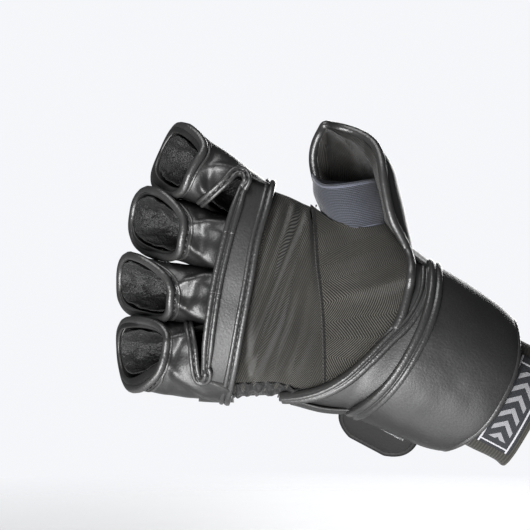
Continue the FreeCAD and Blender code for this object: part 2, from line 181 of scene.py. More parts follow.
HAND = Frame(-150.0, 68.5, 11.3)
WRIST = Frame(0.0, 0.0, 28.0)
THUMB = Frame(-84.5, 84.0, 76.0)
KNUCKLE_Z = {"index": -38.5, "middle": -14.5, "ring": 12.5, "pinky": 38.5}
FINGER_ANGLE = {"index": 29.2, "middle": 16.3, "ring": 8.5, "pinky": -1.3}
FINGER = {}
for finger, z in KNUCKLE_Z.items():
    x, _, up = HAND.at(0, 0, z)
    FINGER[finger] = Frame(x, up, FINGER_ANGLE[finger])


# ---------------------------------------------------------------- meshes

def make(name, points, faces, uvs, material):
    """A smooth mesh object from millimetres, with its faces turned outward and its material given."""
    mesh = bpy.data.meshes.new(name)
    mesh.from_pydata((np.asarray(points) * MM).tolist(), [], [list(f) for f in faces])
    if uvs is not None:
        layer = mesh.uv_layers.new(name="UVMap")
        layer.data.foreach_set("uv", (np.asarray(uvs, np.float32) * MM).ravel())
    mesh.materials.append(material)
    mesh.polygons.foreach_set("use_smooth", np.ones(len(mesh.polygons), bool))
    mesh.update()
    obj = bpy.data.objects.new(name, mesh)
    bpy.context.scene.collection.objects.link(obj)
    bm = bmesh.new()
    bm.from_mesh(mesh)
    bmesh.ops.recalc_face_normals(bm, faces=bm.faces)
    bm.to_mesh(mesh)
    bm.free()
    return obj


def quads(n, m, wrap):
    """Faces of a grid of n rows and m columns."""
    i, j = np.arange(n - 1)[:, None], np.arange(m if wrap else m - 1)[None, :]
    k = (j + 1) % m
    return np.stack([i * m + j, i * m + k, (i + 1) * m + k, (i + 1) * m + j], -1).reshape(-1, 4)


def quad_uvs(n, m, wrap, uv):
    """The same faces' corners on the cloth; a wrapped grid has one more column there."""
    wide = m + 1 if wrap else m
    i, j = np.arange(n - 1)[:, None], np.arange(wide - 1)[None, :]
    at = np.stack([i * wide + j, i * wide + j + 1, (i + 1) * wide + j + 1, (i + 1) * wide + j], -1)
    return uv.reshape(-1, 2)[at.reshape(-1)]


def shell(name, outer, inner, material, wrap=False, uv=None):
    """Closed piece between two grids of the same size."""
    n, m = outer.shape[:2]
    uv = grid_uv(outer, wrap) if uv is None else uv
    face = quads(n, m, wrap)
    face_uv = quad_uvs(n, m, wrap, uv)
    count = n * m
    faces = [face, face[:, ::-1] + count]
    uvs = [face_uv, face_uv.reshape(-1, 4, 2)[:, ::-1].reshape(-1, 2)]
    flat_uv = (uv[:, :m] if wrap else uv).reshape(-1, 2)
    edges = [[i * m + j for j in range(m)] + ([i * m] if wrap else []) for i in (0, n - 1)]
    if not wrap:
        edges += [[i * m + j for i in range(n)] for j in (0, m - 1)]
    for edge in edges:
        a, b = np.array(edge[:-1]), np.array(edge[1:])
        faces.append(np.stack([a, b, b + count, a + count], -1))
        uvs.append(flat_uv[np.stack([a, b, b, a], -1).reshape(-1)])
    points = np.concatenate([outer.reshape(-1, 3), inner.reshape(-1, 3)])
    return make(name, points, np.concatenate(faces).tolist(), np.concatenate(uvs), material)


def sheet(name, outer, thick, inside, material, wrap=False, uv=None):
    """Cloth or leather of one thickness under an outer grid."""
    inner = outer - thick * outward(outer, wrap, inside)
    return shell(name, outer, inner, material, wrap, uv)


def sweep(name, path, up, profile, material=None, slot_name="piping", ring=False, taper=1.2,
          open_start=False, grow=1.0):
    """A section, given as (across, height) points, drawn along a path, with ends rounded by the taper.

    It is binding leather unless a material is given.
    """
    material = material or EDGE
    if ring:
        tangent = unit(np.roll(path, -1, 0) - np.roll(path, 1, 0))
        scale = np.ones(len(path))
    else:
        tangent = unit(np.gradient(path, axis=0))
        scale = np.ones(len(path))
        if taper:
            run = run_of(path)
            end = (run[-1] - run if open_start else np.minimum(run, run[-1] - run)) / taper
            scale = np.sqrt(np.clip(1 - (1 - np.clip(end, 0, 1)) ** 2, 0.02, 1))
    scale = scale * grow
    across = unit(np.cross(tangent, up))
    high = np.cross(across, tangent)
    a, h = profile[:, 0][None, :, None], profile[:, 1][None, :, None]
    p = path[:, None] + scale[:, None, None] * (across[:, None] * a + high[:, None] * h)
    n, m = p.shape[:2]
    if ring:
        p = np.concatenate([p, p[:1]], 0)
        uvs = quad_uvs(n + 1, m, True, grid_uv(p, True))
        faces = quads(n + 1, m, True) % (n * m)
        return make(name, p[:-1].reshape(-1, 3), faces.tolist(), uvs, material)
    uv = grid_uv(p, True)
    faces, uvs = quads(n, m, True).tolist(), quad_uvs(n, m, True, uv)
    for row in (0, n - 1):
        faces.append([row * m + j for j in range(m)])
        uvs = np.concatenate([uvs, uv[row, :m]])
    return make(name, p.reshape(-1, 3), faces, uvs, material)


def circle(radius, count=12, squash=1.0):
    """Section of a cord or a flattened roll."""
    a = np.arange(count) / count * TAU
    return np.stack([radius * np.cos(a), squash * radius * np.sin(a)], -1)


def two_rolls(width, high=1.7, low=0.5, split=0.0, base=-1.0):
    """Section of a bound edge: two soft rolls with the stitch groove between them."""
    half = width / 2
    groove = split * half
    a = np.linspace(-half, half, 21)
    left, right = (a + half) / (groove + half), (a - groove) / (half - groove)
    left_roll = np.sqrt(np.clip(1 - (2 * left - 1) ** 2, 0, 1))
    right_roll = np.sqrt(np.clip(1 - (2 * right - 1) ** 2, 0, 1))
    h = low + (high - low) * np.where(a < groove, left_roll, right_roll)
    h[[0, -1]] = base
    return np.concatenate([np.stack([a, h], -1), [[half * 0.9, base - 0.3], [-half * 0.9, base - 0.3]]])


def resample(path, count):
    """A smooth curve through a path's points, at even steps."""
    run = run_of(path)
    return through(run, path, np.linspace(0, run[-1], count))


def even_path(path, up, count, passes):
    """A path and its normals at even steps, the path smoothed by averaging neighbours."""
    run = run_of(path)
    even = np.linspace(0, run[-1], count)
    path, up = through(run, path, even), unit(through(run, up, even))
    for _ in range(passes):
        path[1:-1] = 0.5 * path[1:-1] + 0.25 * (path[:-2] + path[2:])
    return path, up, even


def stitches(name, path, up, lift, pitch=3.4, long=2.3, radius=0.42, ring=False):
    """A row of thread: short rounded stitches end to end along a path."""
    if ring:
        path, up = np.concatenate([path, path[:1]]), np.concatenate([up, up[:1]])
    run = run_of(path)
    count = max(2, int(run[-1] / pitch))
    points, faces = [], []
    turns = np.arange(6) / 6 * TAU
    stations = np.array([-1, -0.75, 0, 0.75, 1]) * long / 2
    sizes = np.array([0.35, 0.85, 1.0, 0.85, 0.35]) * radius
    for k in range(count):
        middle = (k + 0.5) / count * run[-1]
        at = np.array([np.interp(middle + stations, run, path[:, c]) for c in range(3)]).T
        normal = unit(np.array([np.interp(middle, run, up[:, c]) for c in range(3)]))
        tangent = unit(at[-1] - at[0])
        side = np.cross(tangent, normal)
        dip = lift - 0.25 * (np.abs(stations) / (long / 2)) ** 2
        base = len(points)
        for c, (p, size) in enumerate(zip(at, sizes)):
            for r in turns:
                points.append(p + normal * (dip[c] + size * math.sin(r)) + side * size * math.cos(r))
        for first in range(base, base + 24, 6):
            for r in range(6):
                q = (r + 1) % 6
                faces.append([first + r, first + q, first + 6 + q, first + 6 + r])
        faces += [[base + r for r in range(5, -1, -1)], [base + 24 + r for r in range(6)]]
    uvs = np.zeros((sum(len(f) for f in faces), 2))
    return make(name, points, faces, uvs, THREAD)


# ---------------------------------------------------------------- materials

class Nodes:
    """Small helper for writing node graphs."""

    def __init__(self, name):
        self.material = bpy.data.materials.new(name)
        self.material.use_nodes = True
        self.tree = self.material.node_tree
        self.shader = self.tree.nodes["Principled BSDF"]

    def add(self, kind, settings=None, **inputs):
        item = self.tree.nodes.new(kind)
        for key, value in (settings or {}).items():
            setattr(item, key, value)
        for key, value in inputs.items():
            self.put(item.inputs[key], value)
        return item

    def put(self, socket, value):
        if isinstance(value, bpy.types.NodeSocket):
            self.tree.links.new(value, socket)
        else:
            socket.default_value = value

    def math(self, operation, a, b=0.0, c=0.0):
        item = self.add("ShaderNodeMath", {"operation": operation})
        for socket, value in zip(item.inputs, (a, b, c)):
            self.put(socket, value)
        return item.outputs[0]

    def place(self):
        return self.add("ShaderNodeTexCoord").outputs["Object"]

    def uv(self):
        where = self.add("ShaderNodeUVMap", {"uv_map": "UVMap"}).outputs[0]
        split = self.add("ShaderNodeSeparateXYZ", Vector=where)
        return split.outputs[0], split.outputs[1]

    def noise(self, where, scale, detail=3.0, rough=0.55):
        item = self.add("ShaderNodeTexNoise", Vector=where, Scale=scale, Detail=detail, Roughness=rough)
        return item.outputs[0]

    def remap(self, value, low, high, to_low, to_high):
        item = self.add("ShaderNodeMapRange")
        for socket, v in zip(item.inputs, (value, low, high, to_low, to_high)):
            self.put(socket, v)
        return item.outputs[0]

    def wave(self, value, pitch):
        """0 to 1 and back over each pitch."""
        angle = self.math("MULTIPLY", value, TAU / pitch)
        return self.math("MULTIPLY_ADD", self.math("SINE", angle), 0.5, 0.5)

    def mix(self, factor, a, b):
        item = self.add("ShaderNodeMix", {"data_type": "RGBA"})
        self.put(item.inputs[0], factor)
        self.put(item.inputs[6], a)
        self.put(item.inputs[7], b)
        return item.outputs[2]

    def bump(self, height, distance, strength=1.0, normal=None):
        item = self.add("ShaderNodeBump", Height=height, Distance=distance, Strength=strength)
        if normal is not None:
            self.put(item.inputs["Normal"], normal)
        return item.outputs[0]

    def finish(self, color, roughness, normal, **constants):
        self.put(self.shader.inputs["Base Color"], color)
        self.put(self.shader.inputs["Roughness"], roughness)
        self.put(self.shader.inputs["Normal"], normal)
        for key, value in constants.items():
            self.shader.inputs[key.replace("_", " ")].default_value = value
        return self.material


def leather(name, tone, rough, grain=1.0, wrinkle=1.0, coat=0.12, gloss=0.44):
    """Grained black leather: cells and pores, creases, worn edges and a soft cloud of tone."""
    n = Nodes(name)
    where = n.place()
    cells = n.add("ShaderNodeTexVoronoi", {"feature": "SMOOTH_F1"}, Vector=where, Scale=950.0)
    cells = cells.outputs["Distance"]
    pores = n.noise(where, 1500.0, 2.0)
    fold = n.noise(where, 70.0, 4.0, 0.6)
    creases = n.math("ABSOLUTE", n.math("SUBTRACT", fold, 0.5))
    cloud = n.noise(where, 22.0, 3.0)
    edge = n.remap(n.add("ShaderNodeNewGeometry").outputs["Pointiness"], 0.5, 0.62, 0.0, 1.0)
    dark, light, worn = ([tone * k for k in tint] + [1] for tint in
                         ((0.8, 0.8, 0.82), (1.25, 1.24, 1.22), (2.6, 2.55, 2.45)))
    color = n.mix(n.math("MULTIPLY", edge, 0.5), n.mix(cloud, dark, light), worn)
    uneven = n.math("ADD", n.math("MULTIPLY", cells, 0.6), cloud)
    roughness = n.remap(uneven, 0.2, 1.2, rough - 0.07, rough + 0.1)
    soft = n.bump(creases, 0.0009, 0.35 * wrinkle)
    fine = n.bump(n.math("ADD", cells, n.math("MULTIPLY", pores, 0.5)), 0.00016, 0.55 * grain, soft)
    return n.finish(color, roughness, fine, Specular_IOR_Level=gloss, Coat_Weight=coat, Coat_Roughness=0.3)


def herringbone(name, dark, light, stripe=11.0, pitch=1.55, lean=1.66):
    """Twill whose slant turns back at each stripe, drawn in the cloth's own millimetres."""
    n = Nodes(name)
    across, along = n.uv()
    where = n.place()
    drift = n.math("MULTIPLY", n.math("SUBTRACT", n.noise(where, 40.0, 2.0), 0.5), 0.0026)
    arm = n.math("PINGPONG", n.math("ADD", across, 0.5), stripe * MM)
    slant = n.math("MULTIPLY_ADD", arm, lean, n.math("ADD", along, drift))
    twill = n.wave(slant, pitch * MM)
    yarn = n.wave(n.math("MULTIPLY_ADD", arm, -1 / lean, along), 0.62 * MM)
    height = n.math("MULTIPLY_ADD", yarn, 0.16, twill)
    fibre = n.noise(where, 2600.0, 2.0)
    patch = n.noise(where, 30.0, 3.0)
    lit = n.math("MULTIPLY", n.remap(height, 0.35, 1.1, 0.0, 1.0), n.remap(fibre, 0.3, 0.7, 0.7, 1.2))
    lit = n.math("MULTIPLY", lit, n.remap(patch, 0.3, 0.7, 0.6, 1.2))
    normal = n.bump(height, 0.00034, 0.9, n.bump(fibre, 0.0002, 0.4))
    return n.finish(n.mix(lit, dark, light), n.remap(fibre, 0.3, 0.7, 0.82, 0.95), normal,
                    Specular_IOR_Level=0.2, Sheen_Weight=0.1, Sheen_Roughness=0.5)


def ribbed(name, dark, light, pitch, edge_from=None, edge_line=None, sheen=0.2):
    """Woven elastic: cords round it, with fine rubber checks, and a paler line near each edge."""
    n = Nodes(name)
    around, high = n.uv()
    where = n.place()
    cords = n.wave(n.math("MULTIPLY_ADD", n.noise(where, 90.0, 2.0), 0.0002, high), pitch * MM)
    checks = n.wave(around, 0.9 * MM)
    height = n.math("MULTIPLY_ADD", checks, 0.25, cords)
    fibre = n.noise(where, 2200.0, 2.0)
    lit = n.math("MULTIPLY", n.remap(height, 0.15, 1.15, 0.0, 1.0), n.remap(fibre, 0.3, 0.7, 0.7, 1.15))
    color = n.mix(lit, dark, light)
    if edge_from:
        line = n.math("COMPARE", n.math("ABSOLUTE", high), edge_from * MM, 0.45 * MM)
        color = n.mix(n.math("MULTIPLY", line, 0.55), color, edge_line)
    normal = n.bump(height, 0.00028, 0.8, n.bump(fibre, 0.00015, 0.3))
    return n.finish(color, n.remap(fibre, 0.3, 0.7, 0.7, 0.9), normal,
                    Specular_IOR_Level=0.3, Sheen_Weight=sheen, Sheen_Roughness=0.45)


def satin(name, tone, rough=0.5):
    """Crumpled thin lining cloth."""
    n = Nodes(name)
    where = n.place()
    crumple = n.noise(where, 160.0, 5.0, 0.65)
    sharp = n.math("ABSOLUTE", n.math("SUBTRACT", crumple, 0.5))
    weave = n.noise(where, 2400.0, 2.0)
    color = n.mix(crumple, [tone * 0.6] * 3 + [1], [tone * 1.6, tone * 1.6, tone * 1.7, 1])
    normal = n.bump(weave, 0.00015, 0.4, n.bump(sharp, 0.0024, 1.0))
    return n.finish(color, n.remap(weave, 0.3, 0.7, rough, rough + 0.2), normal,
                    Specular_IOR_Level=0.3, Sheen_Weight=0.04)


def tape(name):
    """Hook and loop fastener: a field of tiny hooks."""
    n = Nodes(name)
    where = n.place()
    hooks = n.add("ShaderNodeTexVoronoi", Vector=where, Scale=1100.0).outputs["Distance"]
    fuzz = n.noise(where, 1800.0, 3.0)
    height = n.math("ADD", hooks, fuzz)
    color = n.mix(height, [0.004, 0.004, 0.005, 1], [0.035, 0.035, 0.037, 1])
    return n.finish(color, n.remap(fuzz, 0.3, 0.7, 0.8, 1.0), n.bump(height, 0.0006, 1.0),
                    Specular_IOR_Level=0.2, Sheen_Weight=0.3)


def woven_patch(name):
    """Plain dark patch with a grey border and chevrons."""
    n = Nodes(name)
    across, high = n.uv()
    where = n.place()
    border_rise, border_side, line = 7.4 * MM, 22.0 * MM, 0.45 * MM
    side, rise = n.math("ABSOLUTE", across), n.math("ABSOLUTE", high)
    ends = n.math("COMPARE", side, border_side, line)
    ends = n.math("MULTIPLY", ends, n.math("LESS_THAN", rise, 7.8 * MM))
    border = n.math("MAXIMUM", n.math("COMPARE", rise, border_rise, line), ends)
    bend = n.math("SUBTRACT", across, n.math("MULTIPLY", rise, 0.9))
    chevron = n.math("GREATER_THAN", n.wave(bend, 7.0 * MM), 0.62)
    inside = n.math("MULTIPLY", n.math("LESS_THAN", rise, 5.2 * MM), n.math("LESS_THAN", side, 18.5 * MM))
    figure = n.math("MAXIMUM", border, n.math("MULTIPLY", chevron, n.math("MULTIPLY", inside, 0.55)))
    thread = n.math("MULTIPLY", n.wave(across, 0.5 * MM), n.wave(high, 0.6 * MM))
    ground = n.mix(thread, [0.003, 0.0035, 0.005, 1], [0.010, 0.011, 0.014, 1])
    color = n.mix(figure, ground, [0.22, 0.22, 0.23, 1])
    height = n.math("MULTIPLY_ADD", figure, 0.8, thread)
    roughness = n.remap(n.noise(where, 2000.0), 0.3, 0.7, 0.65, 0.85)
    return n.finish(color, roughness, n.bump(height, 0.0002, 0.8), Specular_IOR_Level=0.3)


def thread_material(name):
    """Twisted black thread."""
    n = Nodes(name)
    where = n.place()
    twist = n.noise(where, 3000.0, 2.0)
    color = n.mix(twist, [0.002, 0.002, 0.002, 1], [0.008, 0.008, 0.0085, 1])
    roughness = n.remap(twist, 0.3, 0.7, 0.7, 0.9)
    return n.finish(color, roughness, n.bump(twist, 0.0002, 0.8), Specular_IOR_Level=0.12)


SKIN = leather("leather_smooth", 0.0075, 0.43, 0.7, 0.45, 0.03)
SOFT = leather("leather_soft", 0.0065, 0.37, 0.8, 0.9, 0.04)
EDGE = leather("leather_binding", 0.012, 0.33, 1.4, 1.3, 0.14, 0.5)
# a darker, duller copy of the leather for the strap's free tab: painted shade standing in for the shadow
# the tab lies in
LEATHER_PAINTED_SHADE = leather("leather_painted_shade", 0.003, 0.5, 0.8, 0.6, 0.0, 0.14)
DEEP = [0.0012, 0.0012, 0.0010, 1]
CLOTH = herringbone("cotton_herringbone", DEEP, [0.036, 0.034, 0.028, 1], 9.0, 1.6)
CLOTH_THUMB = herringbone("cotton_herringbone_thumb", DEEP, [0.051, 0.048, 0.040, 1], 9.0, 1.3, 0.9)
LINING_CLOTH = herringbone("lining_herringbone", [0.0008, 0.0008, 0.0007, 1], [0.014, 0.013, 0.011, 1])
ELASTIC = ribbed("elastic_thumb", [0.006, 0.0065, 0.009, 1], [0.036, 0.039, 0.052, 1], 0.85,
                 edge_from=10.4, edge_line=[0.10, 0.105, 0.135, 1])
WRISTBAND = ribbed("elastic_wrist", [0.004, 0.0038, 0.003, 1], [0.018, 0.017, 0.013, 1], 1.5,
                   sheen=0.06)
LINING = satin("lining_satin", 0.0035, 0.34)
RUCHED = satin("ruched_cloth", 0.0035, 0.36)
TAPE = tape("hook_and_loop")
PATCH = woven_patch("woven_patch")
THREAD = thread_material("thread_black")


# ---------------------------------------------------------------- the hand's surface

# the hand's outline at stations along it: its two sides, and its depth to the back and to the palm
STATION = [-112, -97, -86, -60, -33, -5, 3.5, 14]
RADIAL = [-14.5, -25.5, -31, -38.5, -45, -50.5, -52.5, -54]
ULNAR = [54, 54, 54, 58, 57.5, 63.5, 64.5, 65]
BACK_DEPTH = [28, 29, 30.5, 32.5, 34, 35.3, 35.5, 35.5]
PALM_DEPTH = [23, 24, 24.5, 25, 25, 25, 25, 25]


def unit_section(exponent, half, depth):
    """Half of a rounded section: even steps along it, and its place across and in depth."""
    a = np.linspace(0, math.pi, 1441)
    c = -np.sign(np.cos(a)) * np.abs(np.cos(a)) ** (2 / exponent)
    k = np.sin(a).clip(0) ** (2 / exponent)
    run = np.concatenate([[0], np.cumsum(np.hypot(np.diff(c * half), np.diff(k * depth)))])
    return run / run[-1], c, k


PALM_SECTION = unit_section(2.7, 52, 24)
BACK_SECTION = unit_section(2.3, 52, 34)


def hand_width(u):
    """Middle and half of the hand's width at station u."""
    low, high = through(STATION, RADIAL, u), through(STATION, ULNAR, u)
    return (low + high) / 2, (high - low) / 2


def hand(u, q, lift=0.0):
    """Point of the skin: q runs from 0 at the thumb's side over the palm to 1, then over the back to 2."""
    u, q, lift = np.broadcast_arrays(u, q, lift)
    q = np.mod(q, 2)
    middle, half = hand_width(u)
    over = q > 1
    c = np.where(over, -np.interp(q - 1, *BACK_SECTION[:2]), np.interp(q, *PALM_SECTION[:2]))
    k = np.where(over, np.interp(q - 1, *BACK_SECTION[::2]), -np.interp(q, *PALM_SECTION[::2]))
    depth = np.where(over, through(STATION, BACK_DEPTH, u), through(STATION, PALM_DEPTH, u)) + lift
    return HAND.at(u, k * depth, middle + (half + lift) * c)


def palm_q(u, w):
    """Where on the palm a point w across the hand lies."""
    middle, half = hand_width(u)
    return np.interp((w - middle) / half, PALM_SECTION[1], PALM_SECTION[0])


def hand_up(u, q, lift):
    """Direction out of the hand's skin."""
    return unit(hand(u, q, np.asarray(lift) + 1.0) - hand(u, q, lift))


def edge_of(points, q):
    """u of an outline as a function of q, from its (w, u) points."""
    w, u = np.array(points, float).T
    known, first = np.unique(palm_q(u, w), return_index=True)
    return through(known, u[first], q)


# outlines on the palm, as (w across the hand, u along it) from the thumb's side
BAND_FRONT = [(-51.5, 2.0), (-47.2, 3.5), (-32.8, 5.6), (-16.1, 7.0), (1.5, 7.6), (22.6, 7.0),
              (38.8, 5.7), (47.6, 4.6), (56, 3.0), (63.5, 1.5)]
BAND_REAR = [(-50, -12.6), (-46.9, -12.5), (-36.4, -12.1), (-19.5, -10.8), (2.1, -11.3), (23.4, -11.6),
             (39.8, -11.9), (60.3, -11.5)]
SEAM = [(-45, -31.5), (-41.6, -33.0), (-32.3, -36.3), (5.4, -47.4), (46.9, -57.2), (56, -59)]
CLOTH_REAR = [(-36.1, -80.1), (-21.7, -86.5), (-3.2, -88.0), (6, -87.0), (16.2, -82.0), (28.1, -75.0),
               (40.5, -65.5), (48.8, -55.5), (55.3, -40.5)]
HEEL_EDGE = [(-24, -94.5), (-20.2, -95.0), (-9.6, -95.4), (4.0, -91.2), (16.2, -82.8), (28.1, -75.0),
             (40.5, -65.5), (48.8, -55.5), (53.5, -45.5), (56, -36.5)]

# how deep the palm cloth lies below the leather's surface
CLOTH_DEPTH = -3.6
# stations handed to bends_with for where a piece leaves the hand for a finger or the thumb; nothing uses
# them to bend it
KNUCKLE_BEND = (-5, 13)
THUMB_BEND = (-26, 6)
THUMB_CLOTH_BEND = (-22, 6)


# ---------------------------------------------------------------- how pieces are fixed

def on(obj, body, *nodes):
    """The piece rides on a body, in place of the CAD nodes named."""
    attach(obj, body)
    if nodes:
        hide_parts(*nodes)
    return obj


def lay(obj, body, node):
    """A sheet rides on a body, in place of one CAD node."""
    on(obj, body, node)


def bends_with(obj, place, stations):
    """Bakes the piece's place into its mesh; the two stations are read, but the piece is not tied to the
    hand or to a finger or the thumb.
    """
    place.metres(stations[0])
    place.metres(stations[1])
    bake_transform(obj)


def bound_edge(names, path, up, section, lift, body, node, **ends):
    """A leather binding sewn with one row of thread."""
    on(sweep(names[0], path, up, section, **ends), body, node)
    on(stitches(names[1], path, up, lift), body)


# ---------------------------------------------------------------- band across the palm

BAND_SPAN = (-0.13, 1.1)
FRONT_ROLLS = two_rolls(6.4, 2.1, 0.6, -0.05)
FRONT_INSET, REAR_INSET = 2.6, 1.6


def front_binding(w):
    """Middle line of the band's front binding, and its normals, at points w across the hand."""
    u = through(*zip(*BAND_FRONT), w) - FRONT_INSET
    q = palm_q(u, w)
    return hand(u, q), hand_up(u, q, 0.0)


t, q = grid(np.linspace(0, 1, 26), np.linspace(*BAND_SPAN, 150))
front, rear = (edge_of(line, np.clip(q, 0, 1)) for line in (BAND_FRONT, BAND_REAR))
u = rear + (front - rear) * t
band = hand(u, q, -1.6 * smooth_step(q, 0.9, 1.0) * smooth_step(t, 0.4, 1.0))
band = band + 0.35 * noise(band, 14, 3)[..., None] * hand_up(u, q, 0.0)
on(sheet("palm_band_leather", band, 2.0, HAND.at(-4, 0, 6), SKIN), "hand", "palm_band")

path, up = front_binding(np.linspace(-20, 10, 60))
bound_edge(("palm_band_front_edge", "palm_band_front_stitches"), path, up, FRONT_ROLLS, 1.0,
           "hand", "palm_band_front_binding", taper=0)

q = np.linspace(*BAND_SPAN, 240)
u = edge_of(BAND_REAR, np.clip(q, 0, 1)) + REAR_INSET
bound_edge(("palm_band_rear_edge", "palm_band_rear_stitches"), hand(u, q), hand_up(u, q, 0.0),
           two_rolls(5.8, 1.7, 0.6, 0.1), 0.8, "hand", "palm_band_rear_binding")


# ---------------------------------------------------------------- palm cloth

FOLDS = [((-19.1, -38.8), (-17.2, -10.0), (-16.4, 12.0), (-16.2, 30.0), 2.6, 1.0),
         ((-25.0, -40.0), (-22.5, -20.0), (-20.0, 8.0), (-17.5, 34.0), 2.4, 1.3),
         ((-33.0, -37.0), (-28.5, -14.0), (-23.5, 14.0), (-19.0, 42.0), 2.8, 1.9),
         ((-35.5, -30.0), (-31.5, -6.0), (-27.5, 18.0), (-21.5, 46.0), 2.6, 1.7),
         ((-37.5, -20.0), (-36.5, 0.0), (-35.5, 20.0), (-31.0, 44.0), 3.2, 1.1),
         ((-42.0, -8.0), (-42.5, 8.0), (-43.0, 24.0), (-40.0, 42.0), 3.4, 0.8)]


def fold_height(u, w, folds):
    """Soft ridges along lines given by four (u, w) points, each with a width and a height."""
    total = np.zeros_like(u)
    for *line, wide, high in folds:
        line = np.array(line)
        centre = through(line[:, 1], line[:, 0], w)
        first, last = line[0, 1], line[-1, 1]
        fade = smooth_step(w, first - 8, first + 6) * (1 - smooth_step(w, last - 6, last + 8))
        off = (u - centre) / wide
        total += high * fade * (np.exp(-off**2) - 0.6 * np.exp(-((off - 1.4) ** 2) * 1.8))
    return total


# the front panel, from under the band to the seam
t, q = grid(np.linspace(0, 1, 110), np.linspace(-0.34, 0.945, 210))
front = edge_of(BAND_REAR, np.clip(q, 0, 1)) + 2.5
rear = edge_of(SEAM, np.clip(q, 0.03, 0.97)) - 4.0 * (1 - smooth_step(q, 0.0, 0.09))
u = rear + (front - rear) * t
middle, half = hand_width(u)
w = middle + half * np.interp(np.clip(q, 0, 1), *PALM_SECTION[:2])
fold = fold_height(u, w, FOLDS)
lift = CLOTH_DEPTH + 2.3 * fold * smooth_step(q, -0.05, 0.1) * smooth_step(t, 0.0, 0.12)
lift = lift + 0.45 * noise(hand(u, q, CLOTH_DEPTH) * [1, 1, 0.4], 9, 5)
front_cloth = hand(u, q, lift)
uv = np.stack([-u + 0.25 * fold, w], -1)
obj = sheet("palm_cloth_front", front_cloth, 1.0, HAND.at(-30, 0, 6), CLOTH, uv=uv)
lay(obj, "hand", "palm_wrap_front")


def thenar_depth(u, w):
    """How far the cloth stands out: the palm's own surface, swelling into the base of the thumb."""
    rel = HAND.at(u, 0, w) - THUMB.origin
    s, z = rel @ THUMB.along, rel @ THUMB.across
    middle, half = hand_width(u)
    c = np.clip((w - middle) / (half + CLOTH_DEPTH), -1, 1)
    palm = (through(STATION, PALM_DEPTH, u) + CLOTH_DEPTH) * np.interp(c, *PALM_SECTION[1:])
    radius = 14.6 + 0.42 * np.clip(8 - s, 0, 30)
    base = np.sqrt(np.clip(radius**2 - (z * 0.9) ** 2, 0, None)) * (1 - smooth_step(-s, 18, 45)) - 0.1
    swell = 2.2 * hill(s + 22, 24) * hill(z, 20)
    blend = 0.55
    return np.log(np.exp(blend * palm) + np.exp(blend * base)) / blend + swell


def coons(left, right, top, bottom):
    """Grid in a patch with four edges: left and right run down, top and bottom run across."""
    v, h = (k[..., None] for k in grid(np.linspace(0, 1, len(left)), np.linspace(0, 1, len(top))))
    ruled = left[:, None] * (1 - h) + right[:, None] * h + top[None] * (1 - v) + bottom[None] * v
    upper, lower = (left[k] * (1 - h) + right[k] * h for k in (0, -1))
    return ruled - upper * (1 - v) - lower * v


# the thumb panel's four sides, as (u, w): the seam, the heel's edge, round the thumb, and the short side
ROWS, COLUMNS = 110, 130
seam_line = resample([(-32.6, -42.6), (-34.0, -39.8), (-36.3, -32.3), (-41.2, -14.0), (-47.4, 5.4),
                      (-52.6, 26.0), (-57.2, 46.9), (-58.6, 52.5)], ROWS)
heel_side = resample([(-75.5, -42.5), (-80.6, -36.1), (-86.0, -21.7), (-86.8, -3.2), (-86.0, 6),
                      (-82.0, 16.2), (-75.4, 28.1), (-69.8, 36.0), (-65.4, 42.0)], ROWS)
thumb_side = resample([(-32.6, -42.6), (-36.6, -40.6), (-43.4, -37.0), (-52.0, -35.9), (-60.2, -36.2),
                       (-68.0, -39.0), (-75.5, -42.5)], COLUMNS)
short_side = resample([(-58.6, 52.5), (-61.6, 48.0), (-65.4, 42.0)], COLUMNS)
plan = coons(seam_line, heel_side, thumb_side, short_side)
u, w = plan[..., 0], plan[..., 1]
v, h = grid(np.linspace(0, 1, ROWS), np.linspace(0, 1, COLUMNS))
ripple = 0.28 * np.sin(v * 26 + 2.5 * h) * (1 - 0.5 * v)
ripple = ripple * smooth_step(h, 0.35, 0.95) * smooth_step(v, 0.02, 0.2)
crease = 1.05 * hill(v - 0.42 + 0.20 * h, 0.035)
crease = crease * smooth_step(h, 0.05, 0.3) * (1 - smooth_step(h, 0.7, 0.95))
flat = HAND.at(u, 0, w)
depth = thenar_depth(u, w) + ripple - crease + 0.35 * noise(flat, 11, 8) * (1 - hill(h, 0.04))
thenar = HAND.at(u, -depth, w)
# its stripes fan out from the thumb's side
rise = 0.52 - 0.42 * smooth_step(w, -22, 34)
fan = w - rise * (u + 46) + 2.2 * noise(flat, 17, 33)
uv = np.stack([fan, -u - rise * (w + 5)], -1)
obj = sheet("palm_cloth_thumb", thenar, 1.0, HAND.at(-60, 0, 0), CLOTH_THUMB, uv=uv)
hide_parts("palm_wrap_thumb")
bends_with(obj, THUMB, THUMB_CLOTH_BEND)

# the sewn joint between the two cloths
u, w = seam_line[2:-2].T
path = HAND.at(u, -thenar_depth(u, w) - 0.1, w)
up = np.tile(-BACKWARD, (len(path), 1))
obj = sweep("palm_seam_ridge", path, up, circle(0.8, 10, 0.55), LINING_CLOTH, "palm_cloth")
on(obj, "hand", "palm_seam")
on(stitches("palm_seam_stitches", path, up, 0.45, 2.6, 1.5, 0.3), "hand")


# ---------------------------------------------------------------- heel, gusset and the little finger's side

# the strap lies at a slant across the hand: its lines move by this much for each mm of width
STRAP_SLANT = 0.3

t, q = grid(np.linspace(0, 1, 30), np.linspace(-0.2, 1.07, 180))
front = edge_of(CLOTH_REAR, np.clip(q, 0.06, 0.97)) + 3.5
slant = STRAP_SLANT * (-33 + 88 * np.clip(q, 0, 1))
rear = np.minimum(-106.0 + slant, front - 6)
u = rear + (front - rear) * t
under_strap = 1 - smooth_step(u - slant, -99, -82)
heel = hand(u, q, -2.4 + 4.5 * under_strap + 0.5 * noise(hand(u, q), 18, 21))
on(sheet("heel_leather", heel, 1.6, HAND.at(-80, 0, 6), SKIN), "hand", "heel_panel")

